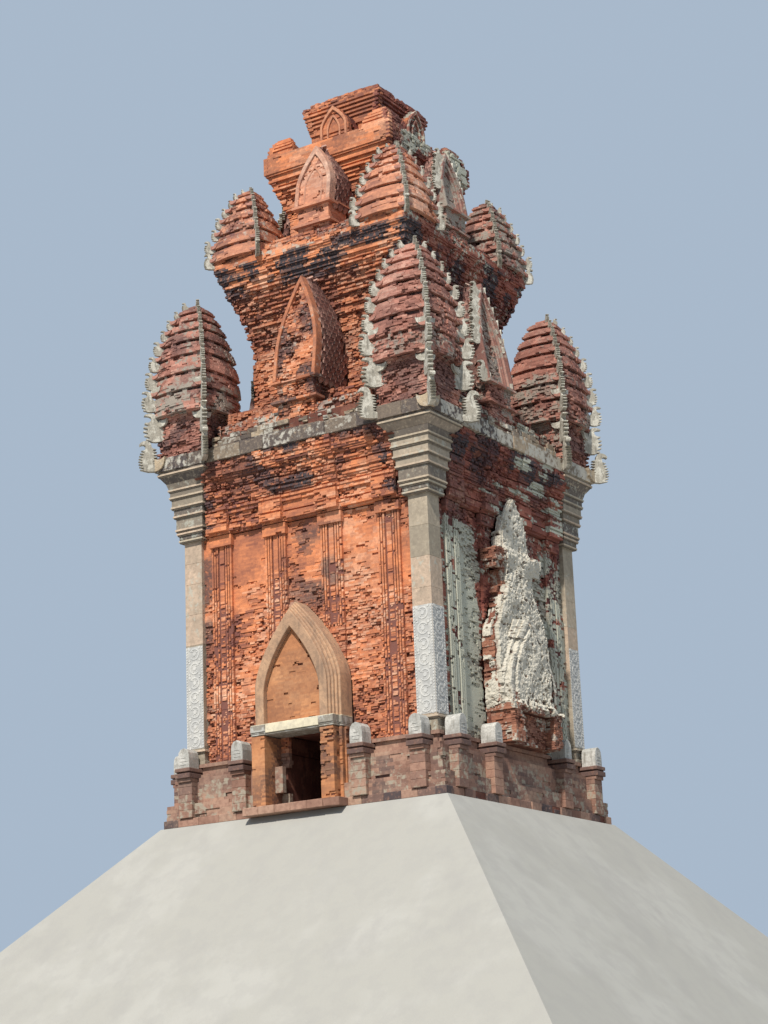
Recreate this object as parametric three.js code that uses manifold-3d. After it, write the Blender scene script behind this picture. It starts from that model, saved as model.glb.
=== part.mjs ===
// A brick temple tower on a square plan, with stone corners, a porch on its front, false doors on its
// other three sides and two upper storeys ringed by corner turrets and gabled niches.
// Millimetres, +Z up. The origin is on the tower's axis at ground level, and the porch faces -Y.

import * as THREE from "three";
import { mergeVertices } from "three/addons/utils/BufferGeometryUtils.js";
import Module from "manifold-3d";

const wasm = await Module();
wasm.setup();

// Driving dimensions: heights above the ground, and half widths from the tower's axis.
const FLOOR_TOP = 200;
const FLOOR_HALF = 4100;
const BASE_TOP = 1550;
const SHAFT_TOP = 7350;
const SLAB_BOTTOM = 9200;
const SLAB_TOP = 9550;
const TOWER_TOP = 20000;

const CELLA_HALF = 2000;
const WALL_FACE = 3560;
const PILASTER_FACE = 3640;
const CORNER_FACE = 3670;
const CORNER_CENTRE = 3400;
const CORNER_INNER = 2 * CORNER_CENTRE - CORNER_FACE;
const SLAB_HALF = 4200;
const GAP = 0.3;

// The doorway and the porch in front of it.
const DOOR_HALF = 600;
const DOOR_HEAD = 1925;
const LINTEL_TOP = 2190;
const PORCH_FRONT = 4325;
const PORCH_STEP = 4075;
const PORCH_HALF = 1190;
const PORCH_OUTER_HALF = 1260;
const PORCH_OPENING_HALF = 815;

// Brick pilasters on each wall: distance of their middles from the wall's middle, and their width.
const PILASTER_MIDDLES = [840, 2520];
const PILASTER_HALF = 300;

// The second storey and what stands round it on the main slab.
const TURRET_CENTRE = 3400;
const TURRET_HALF = 800;
const TURRET_TOP = 13820;
const NICHE_HALF = 650;
const SECOND_HALF = 2350;
const SECOND_SLAB_BOTTOM = 14830;
const SECOND_SLAB_TOP = 15120;
const SECOND_SLAB_HALF = 3075;

// The third storey and what stands round it on the second slab.
const UPPER_TURRET_CENTRE = 2335;
const UPPER_TURRET_HALF = 740;
const UPPER_TURRET_TOP = 17250;
const UPPER_NICHE_HALF = 560;
const THIRD_HALF = 1560;
const THIRD_SLAB_TOP = 18270;
const THIRD_SLAB_HALF = 2050;

// The top storey, which ends in a broken slab.
const TOP_HALF = 1090;
const TOP_SLAB_HALF = 1260;
const CORNER_BLOCK_CENTRE = 1555;
const CORNER_BLOCK_HALF = 420;
const TOP_NICHE_HALF = 470;

const FINISHES = {
  brick: { color: 0xb5522f, roughness: 0.92, metalness: 0 },
  dark_brick: { color: 0x8a4330, roughness: 0.94, metalness: 0 },
  stone: { color: 0xb3a88e, roughness: 0.88, metalness: 0 },
  laid_brick: { color: 0xc9703c, roughness: 0.88, metalness: 0 },
};

const temple = new THREE.Group();
temple.name = "temple_tower";

// Solids

function solidOf(geometry) {
  geometry.deleteAttribute("normal");
  geometry.deleteAttribute("uv");
  const positions = geometry.attributes.position.array;
  for (let i = 0; i < positions.length; i += 1) {
    positions[i] = Math.round(positions[i] * 100) / 100;
  }
  const merged = mergeVertices(geometry, 0.001);
  return new wasm.Manifold(
    new wasm.Mesh({
      numProp: 3,
      vertProperties: merged.attributes.position.array,
      triVerts: new Uint32Array(merged.index.array),
    }),
  );
}

function box(x0, x1, y0, y1, z0, z1) {
  const geometry = new THREE.BoxGeometry(x1 - x0, y1 - y0, z1 - z0);
  geometry.translate((x0 + x1) / 2, (y0 + y1) / 2, (z0 + z1) / 2);
  return solidOf(geometry);
}

// A square-plan solid about a vertical axis, from a profile of [half width, height] pairs.
function squareSolid(profile, centreX = 0, centreY = 0) {
  const points = profile.map(([half, z]) => new THREE.Vector2(half * Math.SQRT2, z));
  const geometry = new THREE.LatheGeometry(points, 4, Math.PI / 4);
  geometry.rotateX(Math.PI / 2);
  geometry.translate(centreX, centreY, 0);
  return solidOf(geometry);
}

// The same solid grown by the gap, so that a neighbour cut by it stays clear of it.
function grown(profile) {
  const wider = squareSolid(closedOnAxis(profile.map(([half, z]) => [half + GAP, z])));
  return wider.translate([0, 0, -GAP]).add(wider).add(wider.translate([0, 0, GAP]));
}

function closedOnAxis(profile) {
  const bottom = profile[0][1];
  const top = profile[profile.length - 1][1];
  return [[0, bottom], ...profile, [0, top]];
}

// An outline of [across, height] pairs in the front view, drawn out from y0 to y1.
function frontExtrusion(outline, y0, y1) {
  const shape = new THREE.Shape(outline.map(([x, z]) => new THREE.Vector2(x, z)));
  const geometry = new THREE.ExtrudeGeometry(shape, { depth: y1 - y0, bevelEnabled: false });
  geometry.rotateX(Math.PI / 2);
  geometry.translate(0, y1, 0);
  return solidOf(geometry);
}

// A plan outline of [x, y] pairs, raised from z0 to z1.
function planExtrusion(outline, z0, z1) {
  const shape = new THREE.Shape(outline.map(([x, y]) => new THREE.Vector2(x, y)));
  const geometry = new THREE.ExtrudeGeometry(shape, { depth: z1 - z0, bevelEnabled: false });
  geometry.translate(0, 0, z0);
  return solidOf(geometry);
}

// A side outline of [y, z] pairs, drawn out from x0 to x1.
function sideExtrusion(outline, x0, x1) {
  const shape = new THREE.Shape(outline.map(([y, z]) => new THREE.Vector2(y, z)));
  const geometry = new THREE.ExtrudeGeometry(shape, { depth: x1 - x0, bevelEnabled: false });
  geometry.rotateX(Math.PI / 2);
  geometry.rotateZ(Math.PI / 2);
  geometry.translate(x0, 0, 0);
  return solidOf(geometry);
}

function joined(solids) {
  return solids.reduce((whole, next) => whole.add(next));
}

function turned(solid, quarters) {
  return solid.rotate([0, 0, 90 * quarters]);
}

function addPiece(name, solid, finish) {
  const mesh = solid.getMesh();
  const stride = mesh.numProp;
  const count = mesh.vertProperties.length / stride;
  const positions = new Float32Array(count * 3);
  for (let i = 0; i < count; i += 1) {
    positions.set(mesh.vertProperties.slice(i * stride, i * stride + 3), i * 3);
  }
  const geometry = new THREE.BufferGeometry();
  geometry.setAttribute("position", new THREE.BufferAttribute(positions, 3));
  geometry.setIndex(new THREE.BufferAttribute(new Uint32Array(mesh.triVerts), 1));
  geometry.computeVertexNormals();
  const piece = new THREE.Mesh(geometry, new THREE.MeshStandardMaterial(FINISHES[finish]));
  piece.name = name;
  temple.add(piece);
}

// The sides in turn, as quarter turns of the front, and the corners as their signs in x and y.
const SIDES = [["front", 0], ["right", 1], ["back", 2], ["left", 3]];
const CORNERS = [
  ["front_left", -1, -1],
  ["front_right", 1, -1],
  ["back_right", 1, 1],
  ["back_left", -1, 1],
];

// A pointed arch outline: feet, upright sides to the spring, then a curve that straightens to the apex.
function pointedOutline(half, foot, spring, apex, steps = 5) {
  const rise = apex - spring;
  const right = [[half, foot]];
  for (let i = 0; i < steps; i += 1) {
    const t = i / steps;
    right.push([half * (1 - t ** 1.7), spring + rise * t]);
  }
  const left = right.map(([x, z]) => [-x, z]).reverse();
  return [...right, [0, apex], ...left];
}

// Base: moulded courses round the foot of the walls, with a small gabled stone under each pilaster.
const BASE_PROFILE = [
  [4040, FLOOR_TOP],
  [4040, 520],
  [3930, 640],
  [3890, 1130],
  [3780, 1250],
  [3780, 1390],
  [3710, 1400],
  [3710, 1450],
  [3780, 1460],
  [3780, BASE_TOP],
];
const STONE_SPOTS = [1740, 3380];
const STONE_HALF = 175;
const STONE_FRONT = 4200;
const STONE_BACK = 3800;
const STONE_BOTTOM = 1430;
const STONE_SHOULDER = 1690;
const STONE_TOP = 1935;
const STONE_BLOCK_HALF = 230;
const STONE_BLOCK_FRONT = 4260;
const STONE_BLOCK_BOTTOM = 1180;
const BASE_BACK = 3620;
const FAR = 6000;

function baseStones(x) {
  const block = box(
    x - STONE_BLOCK_HALF,
    x + STONE_BLOCK_HALF,
    -STONE_BLOCK_FRONT,
    -BASE_BACK,
    STONE_BLOCK_BOTTOM,
    STONE_BOTTOM,
  );
  const gable = [
    [x - STONE_HALF, STONE_BOTTOM - 5],
    [x + STONE_HALF, STONE_BOTTOM - 5],
    [x + STONE_HALF, STONE_SHOULDER],
    [x + STONE_HALF * 0.63, STONE_TOP - 110],
    [x, STONE_TOP],
    [x - STONE_HALF * 0.63, STONE_TOP - 110],
    [x - STONE_HALF, STONE_SHOULDER],
  ];
  return block.add(frontExtrusion(gable, -STONE_FRONT, -STONE_BACK));
}

function baseSide() {
  const outline = BASE_PROFILE.map(([half, z]) => [-half, z]);
  const inner = CELLA_HALF;
  const body = sideExtrusion([...outline, [-inner, BASE_TOP], [-inner, FLOOR_TOP]], -FAR, FAR);
  const wedge = planExtrusion([[0, 0], [FAR, -FAR], [-FAR, -FAR]], FLOOR_TOP - 100, BASE_TOP + 100);
  const stones = [-1, 1].flatMap((side) => STONE_SPOTS.map((x) => baseStones(side * x)));
  return joined([body.intersect(wedge), ...stones]);
}

const PORCH_FLOOR_HALF = 1400;
const PORCH_FLOOR_FRONT = 4485;
const ABOVE_ALL = 30000;
const floor = box(-FLOOR_HALF, FLOOR_HALF, -FLOOR_HALF, FLOOR_HALF, 0, FLOOR_TOP);
const porchFloor = box(
  -PORCH_FLOOR_HALF,
  PORCH_FLOOR_HALF,
  -PORCH_FLOOR_FRONT,
  -FLOOR_HALF + 100,
  0,
  FLOOR_TOP,
);
addPiece("floor", floor.add(porchFloor), "dark_brick");

const PORCH_CLEARANCE = PORCH_OUTER_HALF + 20;
const base = baseSide();
const porchGap = box(-PORCH_CLEARANCE, PORCH_CLEARANCE, -FAR, -PILASTER_FACE, 0, ABOVE_ALL);
const doorGap = box(-DOOR_HALF, DOOR_HALF, -FAR, 0, 0, ABOVE_ALL);
const frontBase = base.subtract(porchGap.add(doorGap));
const leftHalf = box(-FAR, 0, -FAR, 0, -100, ABOVE_ALL);
addPiece("base_front_left", frontBase.intersect(leftHalf), "dark_brick");
addPiece("base_front_right", frontBase.subtract(leftHalf), "dark_brick");
for (const [name, quarters] of SIDES.slice(1)) {
  addPiece(`base_${name}`, turned(base, quarters), "dark_brick");
}

// Walls: brick between the corner pilasters, with four pilasters that each end in a block capital.
const CAPITAL_BOTTOM = 7050;
const CAPITAL_TOP = 7300;
const CAPITAL_HALF = 340;
const CAPITAL_FACE = 3700;

function wallPlan() {
  const right = [[0, -WALL_FACE]];
  for (const middle of PILASTER_MIDDLES) {
    const near = middle - PILASTER_HALF;
    const far = middle + PILASTER_HALF;
    right.push([near, -WALL_FACE], [near, -PILASTER_FACE], [far, -PILASTER_FACE], [far, -WALL_FACE]);
  }
  right.push([CORNER_INNER, -WALL_FACE]);
  const left = right.slice(1).map(([x, y]) => [-x, y]).reverse();
  return [[-CORNER_INNER, -CORNER_INNER], ...left, ...right, [CORNER_INNER, -CORNER_INNER]];
}

function wallSide() {
  const facing = planExtrusion(wallPlan().reverse(), BASE_TOP, SHAFT_TOP);
  const backing = planExtrusion(
    [
      [-CORNER_INNER, -CORNER_INNER],
      [-CELLA_HALF, -CELLA_HALF],
      [CELLA_HALF, -CELLA_HALF],
      [CORNER_INNER, -CORNER_INNER],
    ].reverse(),
    BASE_TOP,
    SHAFT_TOP,
  );
  const capitals = [-1, 1].flatMap((side) =>
    PILASTER_MIDDLES.map((middle) => {
      const x = side * middle;
      return box(
        x - CAPITAL_HALF,
        x + CAPITAL_HALF,
        -CAPITAL_FACE,
        -WALL_FACE + 20,
        CAPITAL_BOTTOM,
        CAPITAL_TOP,
      );
    }),
  );
  return joined([facing, backing, ...capitals]);
}

const wall = wallSide();
const overDoor = box(-DOOR_HALF, DOOR_HALF, -FAR, 0, DOOR_HEAD, ABOVE_ALL);
const besideDoor = wall.subtract(doorGap);
addPiece("front_wall_left", besideDoor.intersect(leftHalf), "brick");
addPiece("front_wall_right", besideDoor.subtract(leftHalf), "brick");
addPiece("front_wall_over_door", wall.intersect(overDoor), "brick");
for (const [name, quarters] of SIDES.slice(1)) {
  addPiece(`${name}_wall`, turned(wall, quarters), "brick");
}

// Corner pilasters: a stone shaft on a low foot, which spreads through its capital to carry the slab.
const CORNER_PROFILE = [
  [330, BASE_TOP],
  [330, 1640],
  [295, 1660],
  [295, 1830],
  [325, 1850],
  [325, 1930],
  [270, 1935],
  [270, 7300],
  [365, 7410],
  [365, 7530],
  [420, 7640],
  [420, 7990],
  [460, 8030],
  [460, 8200],
  [500, 8230],
  [500, 8440],
  [530, 8530],
  [530, 8685],
  [600, 8900],
  [740, 9090],
  [740, SLAB_BOTTOM],
];

const cornerSolid = squareSolid(closedOnAxis(CORNER_PROFILE));
const allWalls = joined(SIDES.map(([, quarters]) => turned(wall, quarters)));
const cornerRoot = allWalls.add(
  box(-CORNER_INNER, CORNER_INNER, -CORNER_INNER, CORNER_INNER, 0, SHAFT_TOP),
);
for (const [name, sx, sy] of CORNERS) {
  const placed = cornerSolid.translate([sx * CORNER_CENTRE, sy * CORNER_CENTRE, 0]);
  addPiece(`corner_pilaster_${name}`, placed.subtract(cornerRoot), "stone");
}

// Main cornice: stepped brick courses between the corner capitals, hollow inside.
const CORNICE_PROFILE = [
  [3640, SHAFT_TOP],
  [3740, 7430],
  [3740, 7560],
  [3700, 7570],
  [3700, 7850],
  [3790, 7880],
  [3790, 8010],
  [3720, 8030],
  [3810, 8190],
  [3860, 8330],
  [3860, 8440],
  [3800, 8450],
  [3890, 8590],
  [3960, 8760],
  [4050, 8960],
  [4050, SLAB_BOTTOM],
];
const CORNICE_INNER_BOTTOM = 2000;
const CORNICE_INNER_TOP = 1500;
const BREAK_HALF = 330;
const BREAK_FACE = 3800;
const BREAK_BOTTOM = 7430;
const BREAK_TOP = 8010;

function hollowed(outer, innerProfile) {
  return outer.subtract(squareSolid(closedOnAxis(innerProfile)));
}

const capitalClearance = grown(CORNER_PROFILE.filter(([, z]) => z >= 7300));
const capitalClearances = joined(
  CORNERS.map(([, sx, sy]) => capitalClearance.translate([sx * CORNER_CENTRE, sy * CORNER_CENTRE, 0])),
);
const pilasterBreaks = joined(
  SIDES.map(([, quarters]) =>
    turned(
      joined(
        [-1, 1].flatMap((side) =>
          PILASTER_MIDDLES.map((middle) => {
            const x = side * middle;
            return box(x - BREAK_HALF, x + BREAK_HALF, -BREAK_FACE, -3000, BREAK_BOTTOM, BREAK_TOP);
          }),
        ),
      ),
      quarters,
    ),
  ),
);
const corniceOuter = squareSolid(closedOnAxis(CORNICE_PROFILE)).add(pilasterBreaks);
const cornice = hollowed(corniceOuter, [
  [CORNICE_INNER_BOTTOM, SHAFT_TOP - 10],
  [CORNICE_INNER_BOTTOM, SHAFT_TOP],
  [CORNICE_INNER_TOP, SLAB_BOTTOM],
  [CORNICE_INNER_TOP, SLAB_BOTTOM + 10],
]).subtract(capitalClearances);
addPiece("main_cornice", cornice, "brick");

// Main slab: one stone course, which stands further out over each corner.
const SLAB_VOID = 1400;
const SLAB_NOTCH_HALF = 2600;
const SLAB_NOTCH_FACE = 4120;
const slabPlate = box(-SLAB_HALF, SLAB_HALF, -SLAB_HALF, SLAB_HALF, SLAB_BOTTOM, SLAB_TOP);
const slabNotch = box(-SLAB_NOTCH_HALF, SLAB_NOTCH_HALF, -FAR, -SLAB_NOTCH_FACE, 0, ABOVE_ALL);
const slabVoid = box(-SLAB_VOID, SLAB_VOID, -SLAB_VOID, SLAB_VOID, 0, ABOVE_ALL);
const slab = SIDES.reduce((plate, [, quarters]) => plate.subtract(turned(slabNotch, quarters)), slabPlate);
addPiece("main_slab", slab.subtract(slabVoid), "stone");

// Porch: two brick piers, a stone lintel, and a pointed arch in two rings round a filled gable.
for (const [name, side] of [["left", -1], ["right", 1]]) {
  const inner = side * PORCH_OPENING_HALF;
  const pierPart = (outer, y0, y1) =>
    box(Math.min(inner, outer), Math.max(inner, outer), y0, y1, FLOOR_TOP, DOOR_HEAD);
  const frontPart = pierPart(side * PORCH_HALF, -PORCH_FRONT, -PORCH_STEP + 10);
  const backPart = pierPart(side * PORCH_OUTER_HALF, -PORCH_STEP, -PILASTER_FACE);
  addPiece(`porch_pier_${name}`, frontPart.add(backPart), "laid_brick");
}

const LINTEL_OVERHANG = 20;
const lintelPart = (half, y0, y1) =>
  box(-half - LINTEL_OVERHANG, half + LINTEL_OVERHANG, y0, y1, DOOR_HEAD, LINTEL_TOP);
const lintelFront = lintelPart(PORCH_HALF, -PORCH_FRONT - 30, -PORCH_STEP);
const lintelBack = lintelPart(PORCH_OUTER_HALF, -PORCH_STEP - 10, -WALL_FACE);
addPiece("porch_lintel", lintelFront.add(lintelBack).subtract(wall), "stone");

// Each ring of the arch: half width, height of the spring and height of the apex.
const ARCH_STEPS = 8;
const OPENING_RING = [PORCH_OPENING_HALF, 2900, 4490];
const FRONT_RING = [1075, 3000, 4960];
const BACK_RING = [PORCH_OUTER_HALF, 3100, 5150];
const TYMPANUM_SINK = 150;

function archSolid([half, spring, apex], foot, y0, y1) {
  return frontExtrusion(pointedOutline(half, foot, spring, apex, ARCH_STEPS), y0, y1);
}

const archRings = archSolid(FRONT_RING, LINTEL_TOP, -PORCH_FRONT, -PORCH_STEP + 10).add(
  archSolid(BACK_RING, LINTEL_TOP, -PORCH_STEP, -WALL_FACE),
);
const archHollow = archSolid(OPENING_RING, LINTEL_TOP - 50, -FAR, 0);
addPiece("porch_arch", archRings.subtract(archHollow).subtract(wall), "laid_brick");
const tympanumRing = [PORCH_OPENING_HALF - GAP, OPENING_RING[1], OPENING_RING[2] - 1];
const tympanum = archSolid(tympanumRing, LINTEL_TOP, -PORCH_FRONT + TYMPANUM_SINK, -WALL_FACE);
addPiece("porch_tympanum", tympanum.subtract(wall), "laid_brick");

// False doors: a low blind porch, a broad pointed stage, a block capital and a slim pointed crown.
function falseDoor() {
  const lowerPorch = joined([
    box(-1190, -760, -PORCH_FRONT - 60, -WALL_FACE, BASE_TOP, 2350),
    box(760, 1190, -PORCH_FRONT - 60, -WALL_FACE, BASE_TOP, 2350),
    box(-800, 800, -4150, -WALL_FACE, BASE_TOP, 2350),
    box(-1230, 1230, -PORCH_FRONT - 80, -WALL_FACE, 2330, 2500),
  ]);
  const lowerGable = frontExtrusion(pointedOutline(1100, 2480, 3000, 4700), -4300, -WALL_FACE);
  const broadStage = frontExtrusion(pointedOutline(PORCH_OUTER_HALF, 2480, 4000, 6300), -4050, -WALL_FACE);
  const capitalStage = joined([
    box(-760, 760, -3960, -WALL_FACE, 5200, 5980),
    box(-1080, 1080, -4010, -WALL_FACE, 5960, 6120),
    box(-1130, 1130, -4060, -WALL_FACE, 6100, 6450),
  ]);
  const crown = frontExtrusion(pointedOutline(640, 6430, 6850, 7900), -3960, -3740);
  const crownRoot = box(-560, 560, -3900, -WALL_FACE, 6440, 6980);
  return joined([lowerPorch, lowerGable, broadStage, capitalStage, crownRoot, crown]).subtract(wall);
}

const breakClearance = grown([[BREAK_FACE + 30, BREAK_BOTTOM], [BREAK_FACE + 30, BREAK_TOP]]);
const corniceClearance = grown(CORNICE_PROFILE).add(breakClearance);
const falseDoorSolid = falseDoor().subtract(corniceClearance).subtract(base);
for (const [name, quarters] of SIDES.slice(1)) {
  addPiece(`false_door_${name}`, turned(falseDoorSolid, quarters), "dark_brick");
}

// Corner turrets: a blunt dome of overlapping courses, on a moulded foot in the lower storey, with a thin
// crest of flame shapes up each outer corner. Levels are fractions of a turret's height. The dome's half
// width shrinks by the share "taper" of itself, as the power "bulge" of the way up.
const LOWER_DOME = {
  mouldings: [
    [0.96, 0],
    [0.96, 0.035],
    [0.9, 0.04],
    [0.9, 0.07],
    [0.95, 0.075],
    [0.95, 0.11],
    [0.88, 0.115],
    [0.88, 0.25],
  ],
  courses: [0.265, 0.403, 0.515, 0.632, 0.728, 0.808, 0.878, 0.94, 0.985],
  flames: [0, 0.119, 0.309, 0.45, 0.567, 0.674, 0.77, 0.845, 0.916, 0.977, 1.03],
  taper: 0.7,
  bulge: 2.7,
};
const UPPER_DOME = {
  mouldings: [],
  courses: [0, 0.174, 0.36, 0.54, 0.69, 0.81, 0.91, 0.98],
  flames: [0, 0.127, 0.305, 0.465, 0.625, 0.765, 0.885, 1.01],
  taper: 0.76,
  bulge: 1.7,
};
const COURSE_OVERHANG = 0.06;
const COURSE_UNDERCUT = 35;
const OUTER_CORNERS = [-135, -45, 45];

function turretProfile(half, foot, top, { mouldings, courses, taper, bulge }) {
  const height = top - foot;
  const at = (fraction) => foot + height * fraction;
  const profile = mouldings.map(([share, fraction]) => [half * share, at(fraction)]);
  const start = courses[0];
  const end = courses[courses.length - 1];
  const reach = (fraction) => half * (1 - taper * ((fraction - start) / (end - start)) ** bulge);
  courses.slice(1).forEach((above, i) => {
    const below = courses[i];
    profile.push(
      [Math.min(reach(below) + half * COURSE_OVERHANG, half * 1.03), at(below) + (i > 0 ? 5 : 0)],
      [(reach(below) + reach(above)) / 2 + half * COURSE_OVERHANG * 0.6, at((below + above) / 2)],
      [reach(above), at(above) - COURSE_UNDERCUT],
      [reach(above) - half * 0.02, at(above)],
    );
  });
  const crown = reach(end);
  profile.push([crown * 0.7, at((end + 1) / 2)], [crown * 0.25, at(1)]);
  return profile;
}

// A crest is a thin plate in the diagonal plane, with one flame point at each level. Its lowest point
// is a horn that hangs past the slab's edge. The corner that faces the storey has none.
function crest(half, profile, levels, slabReach) {
  const reachAt = (z) => profile.find((point) => point[1] >= z)?.[0] ?? half * 0.1;
  const foot = levels[0];
  const crown = levels[levels.length - 1];
  const thickness = half * 0.11;
  const slabEdge = slabReach * Math.SQRT2 + thickness / 2 + GAP;
  const outline = [
    [0, foot + 40],
    [slabEdge, foot + 40],
    [slabEdge, foot - half * 0.28],
    [half * 1.8, foot - half * 0.26],
    [half * 2.0, foot + half * 0.02],
    [half * 1.92, levels[1] - half * 0.02],
  ];
  for (let i = 1; i < levels.length - 1; i += 1) {
    const rise = levels[i + 1] - levels[i];
    const seat = reachAt(levels[i] + rise * 0.3) * Math.SQRT2;
    const reach = half * (i < 2 ? 0.62 : 0.36) * (1 - i / (levels.length * 1.6));
    outline.push([seat, levels[i] + rise * 0.04], [seat + reach, levels[i] + rise * 0.8]);
  }
  outline.push([half * 0.1, crown], [0, crown - 40]);
  return frontExtrusion(outline, -thickness / 2, thickness / 2);
}

function turret(half, foot, top, slabReach, dome) {
  const profile = turretProfile(half, foot, top, dome);
  const body = squareSolid(closedOnAxis(profile));
  const levels = dome.flames.map((fraction) => foot + (top - foot) * fraction);
  const plate = crest(half, profile, levels, slabReach);
  const crests = OUTER_CORNERS.map((angle) => plate.rotate([0, 0, angle]));
  return joined([body, ...crests]);
}

const TURRET_TURNS = { front_right: 0, back_right: 1, back_left: 2, front_left: 3 };

const turretSolid = turret(
  TURRET_HALF,
  SLAB_TOP,
  TURRET_TOP,
  SLAB_HALF - TURRET_CENTRE,
  LOWER_DOME,
);
const upperTurretSolid = turret(
  UPPER_TURRET_HALF,
  SECOND_SLAB_TOP,
  UPPER_TURRET_TOP,
  SECOND_SLAB_HALF - UPPER_TURRET_CENTRE,
  UPPER_DOME,
);

// Second storey: low worn steps on the slab, a plain shaft, and courses that spread to its own slab.
const SECOND_PROFILE = [
  [SECOND_HALF, 10500],
  [SECOND_HALF, 12700],
  [2390, 12800],
  [2390, 12960],
  [2460, 13000],
  [2460, 13180],
  [2520, 13200],
  [2520, 13420],
  [2620, 13460],
  [2620, 13700],
  [2700, 13740],
  [2700, 13860],
  [2775, 13920],
  [2775, 14060],
  [2850, 14110],
  [2850, 14320],
  [2910, 14360],
  [2910, 14500],
  [2990, 14560],
  [2990, 14700],
  [SECOND_SLAB_HALF, SECOND_SLAB_BOTTOM],
  [SECOND_SLAB_HALF, SECOND_SLAB_TOP],
];
const SECOND_STEPS = [
  [3990, SLAB_TOP, 9900],
  [3740, 9890, 10240],
  [3300, 10230, 10650],
];
const STEP_END = 2540;

function storeySteps(steps, end) {
  return joined(
    SIDES.flatMap(([, quarters]) =>
      steps.map(([half, z0, z1]) => turned(box(-end, end, -half, 0, z0, z1), quarters)),
    ),
  );
}

const secondOuter = squareSolid(closedOnAxis([[SECOND_HALF, SLAB_TOP], ...SECOND_PROFILE])).add(
  storeySteps(SECOND_STEPS, STEP_END),
);
const SECOND_VOID = [
  [1400, SLAB_TOP - 10],
  [1400, SLAB_TOP],
  [1150, 12000],
  [850, 14000],
  [600, SECOND_SLAB_TOP + 10],
];
addPiece("second_storey", hollowed(secondOuter, SECOND_VOID), "brick");

// Third storey, in the same way, on the second slab.
const THIRD_PROFILE = [
  [THIRD_HALF, SECOND_SLAB_TOP],
  [THIRD_HALF, 16500],
  [1610, 16560],
  [1610, 16700],
  [1690, 16750],
  [1690, 16900],
  [1750, 16950],
  [1750, 17100],
  [1830, 17150],
  [1830, 17290],
  [1890, 17330],
  [1890, 17480],
  [1960, 17540],
  [1960, 17680],
  [THIRD_SLAB_HALF, 17760],
  [THIRD_SLAB_HALF, THIRD_SLAB_TOP],
];
const THIRD_STEPS = [
  [2860, SECOND_SLAB_TOP, 15340],
  [2500, 15330, 15560],
];
const THIRD_STEP_END = 1560;
const thirdOuter = squareSolid(closedOnAxis(THIRD_PROFILE)).add(storeySteps(THIRD_STEPS, THIRD_STEP_END));
const THIRD_VOID = [
  [600, SECOND_SLAB_TOP - 10],
  [600, SECOND_SLAB_TOP],
  [420, 17000],
  [300, THIRD_SLAB_TOP + 10],
];
addPiece("third_storey", hollowed(thirdOuter, THIRD_VOID), "brick");

// Top storey: a moulded block under a broken slab, with a rounded block at each corner and a small
// gable on each side.
const TOP_PROFILE = [
  [1330, THIRD_SLAB_TOP],
  [1330, 18420],
  [1250, 18430],
  [1250, 18560],
  [TOP_HALF, 18570],
  [TOP_HALF, 18980],
  [1135, 19000],
  [1135, 19120],
  [1165, 19140],
  [1165, 19260],
  [1190, 19280],
  [1190, 19400],
  [1215, 19420],
  [1215, 19540],
  [TOP_SLAB_HALF, 19570],
  [TOP_SLAB_HALF, 19780],
  [1180, 19800],
  [1080, TOWER_TOP],
];
const CORNER_BLOCK_PROFILE = [
  [CORNER_BLOCK_HALF, THIRD_SLAB_TOP],
  [CORNER_BLOCK_HALF, 18420],
  [380, 18560],
  [300, 18700],
  [190, 18810],
  [60, 18870],
];

const topBlock = squareSolid(closedOnAxis(TOP_PROFILE));
const cornerBlocks = CORNERS.map(([, sx, sy]) =>
  squareSolid(closedOnAxis(CORNER_BLOCK_PROFILE)).translate([
    sx * CORNER_BLOCK_CENTRE,
    sy * CORNER_BLOCK_CENTRE,
    0,
  ]),
);
const topNiche = frontExtrusion(
  pointedOutline(TOP_NICHE_HALF, THIRD_SLAB_TOP, 18800, 19420),
  -1600,
  -1000,
);
const topNiches = SIDES.map(([, quarters]) => turned(topNiche, quarters));
addPiece("top_storey", joined([topBlock, ...cornerBlocks, ...topNiches]), "brick");

// Turrets and niches round the second and third storeys.
function addTurrets(storey, solid, centre) {
  for (const [name, sx, sy] of CORNERS) {
    const placed = turned(solid, TURRET_TURNS[name]).translate([sx * centre, sy * centre, 0]);
    addPiece(`${storey}_turret_${name}`, placed, "brick");
  }
}

addTurrets("second_storey", turretSolid, TURRET_CENTRE);
addTurrets("third_storey", upperTurretSolid, UPPER_TURRET_CENTRE);

// A niche: a small blind doorway under a pointed vault whose gable leans back.
function niche({ half, front, back, foot, sill, spring, apex, lean }) {
  const base = box(-half * 0.86, half * 0.86, -front + 60, -back, foot, sill);
  const outer = frontExtrusion(pointedOutline(half, sill - 20, spring, apex, 6), -front + 260, -back);
  const inner = frontExtrusion(
    pointedOutline(half * 0.84, sill - 20, spring - 60, apex - lean, 6),
    -front,
    -front + 270,
  );
  const recess = frontExtrusion(
    pointedOutline(half * 0.56, sill + 90, spring - 60, apex - lean * 2.6, 6),
    -front - 10,
    -front + 70,
  );
  return joined([base, outer, inner]).subtract(recess);
}

function grownSteps(steps, end) {
  return storeySteps(
    steps.map(([half, z0, z1]) => [half + GAP, z0 - GAP, z1 + GAP]),
    end + GAP,
  );
}

const secondClearance = grown([[SECOND_HALF, SLAB_TOP], ...SECOND_PROFILE]).add(
  grownSteps(SECOND_STEPS, STEP_END),
);
const thirdClearance = grown(THIRD_PROFILE).add(grownSteps(THIRD_STEPS, THIRD_STEP_END));

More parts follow.
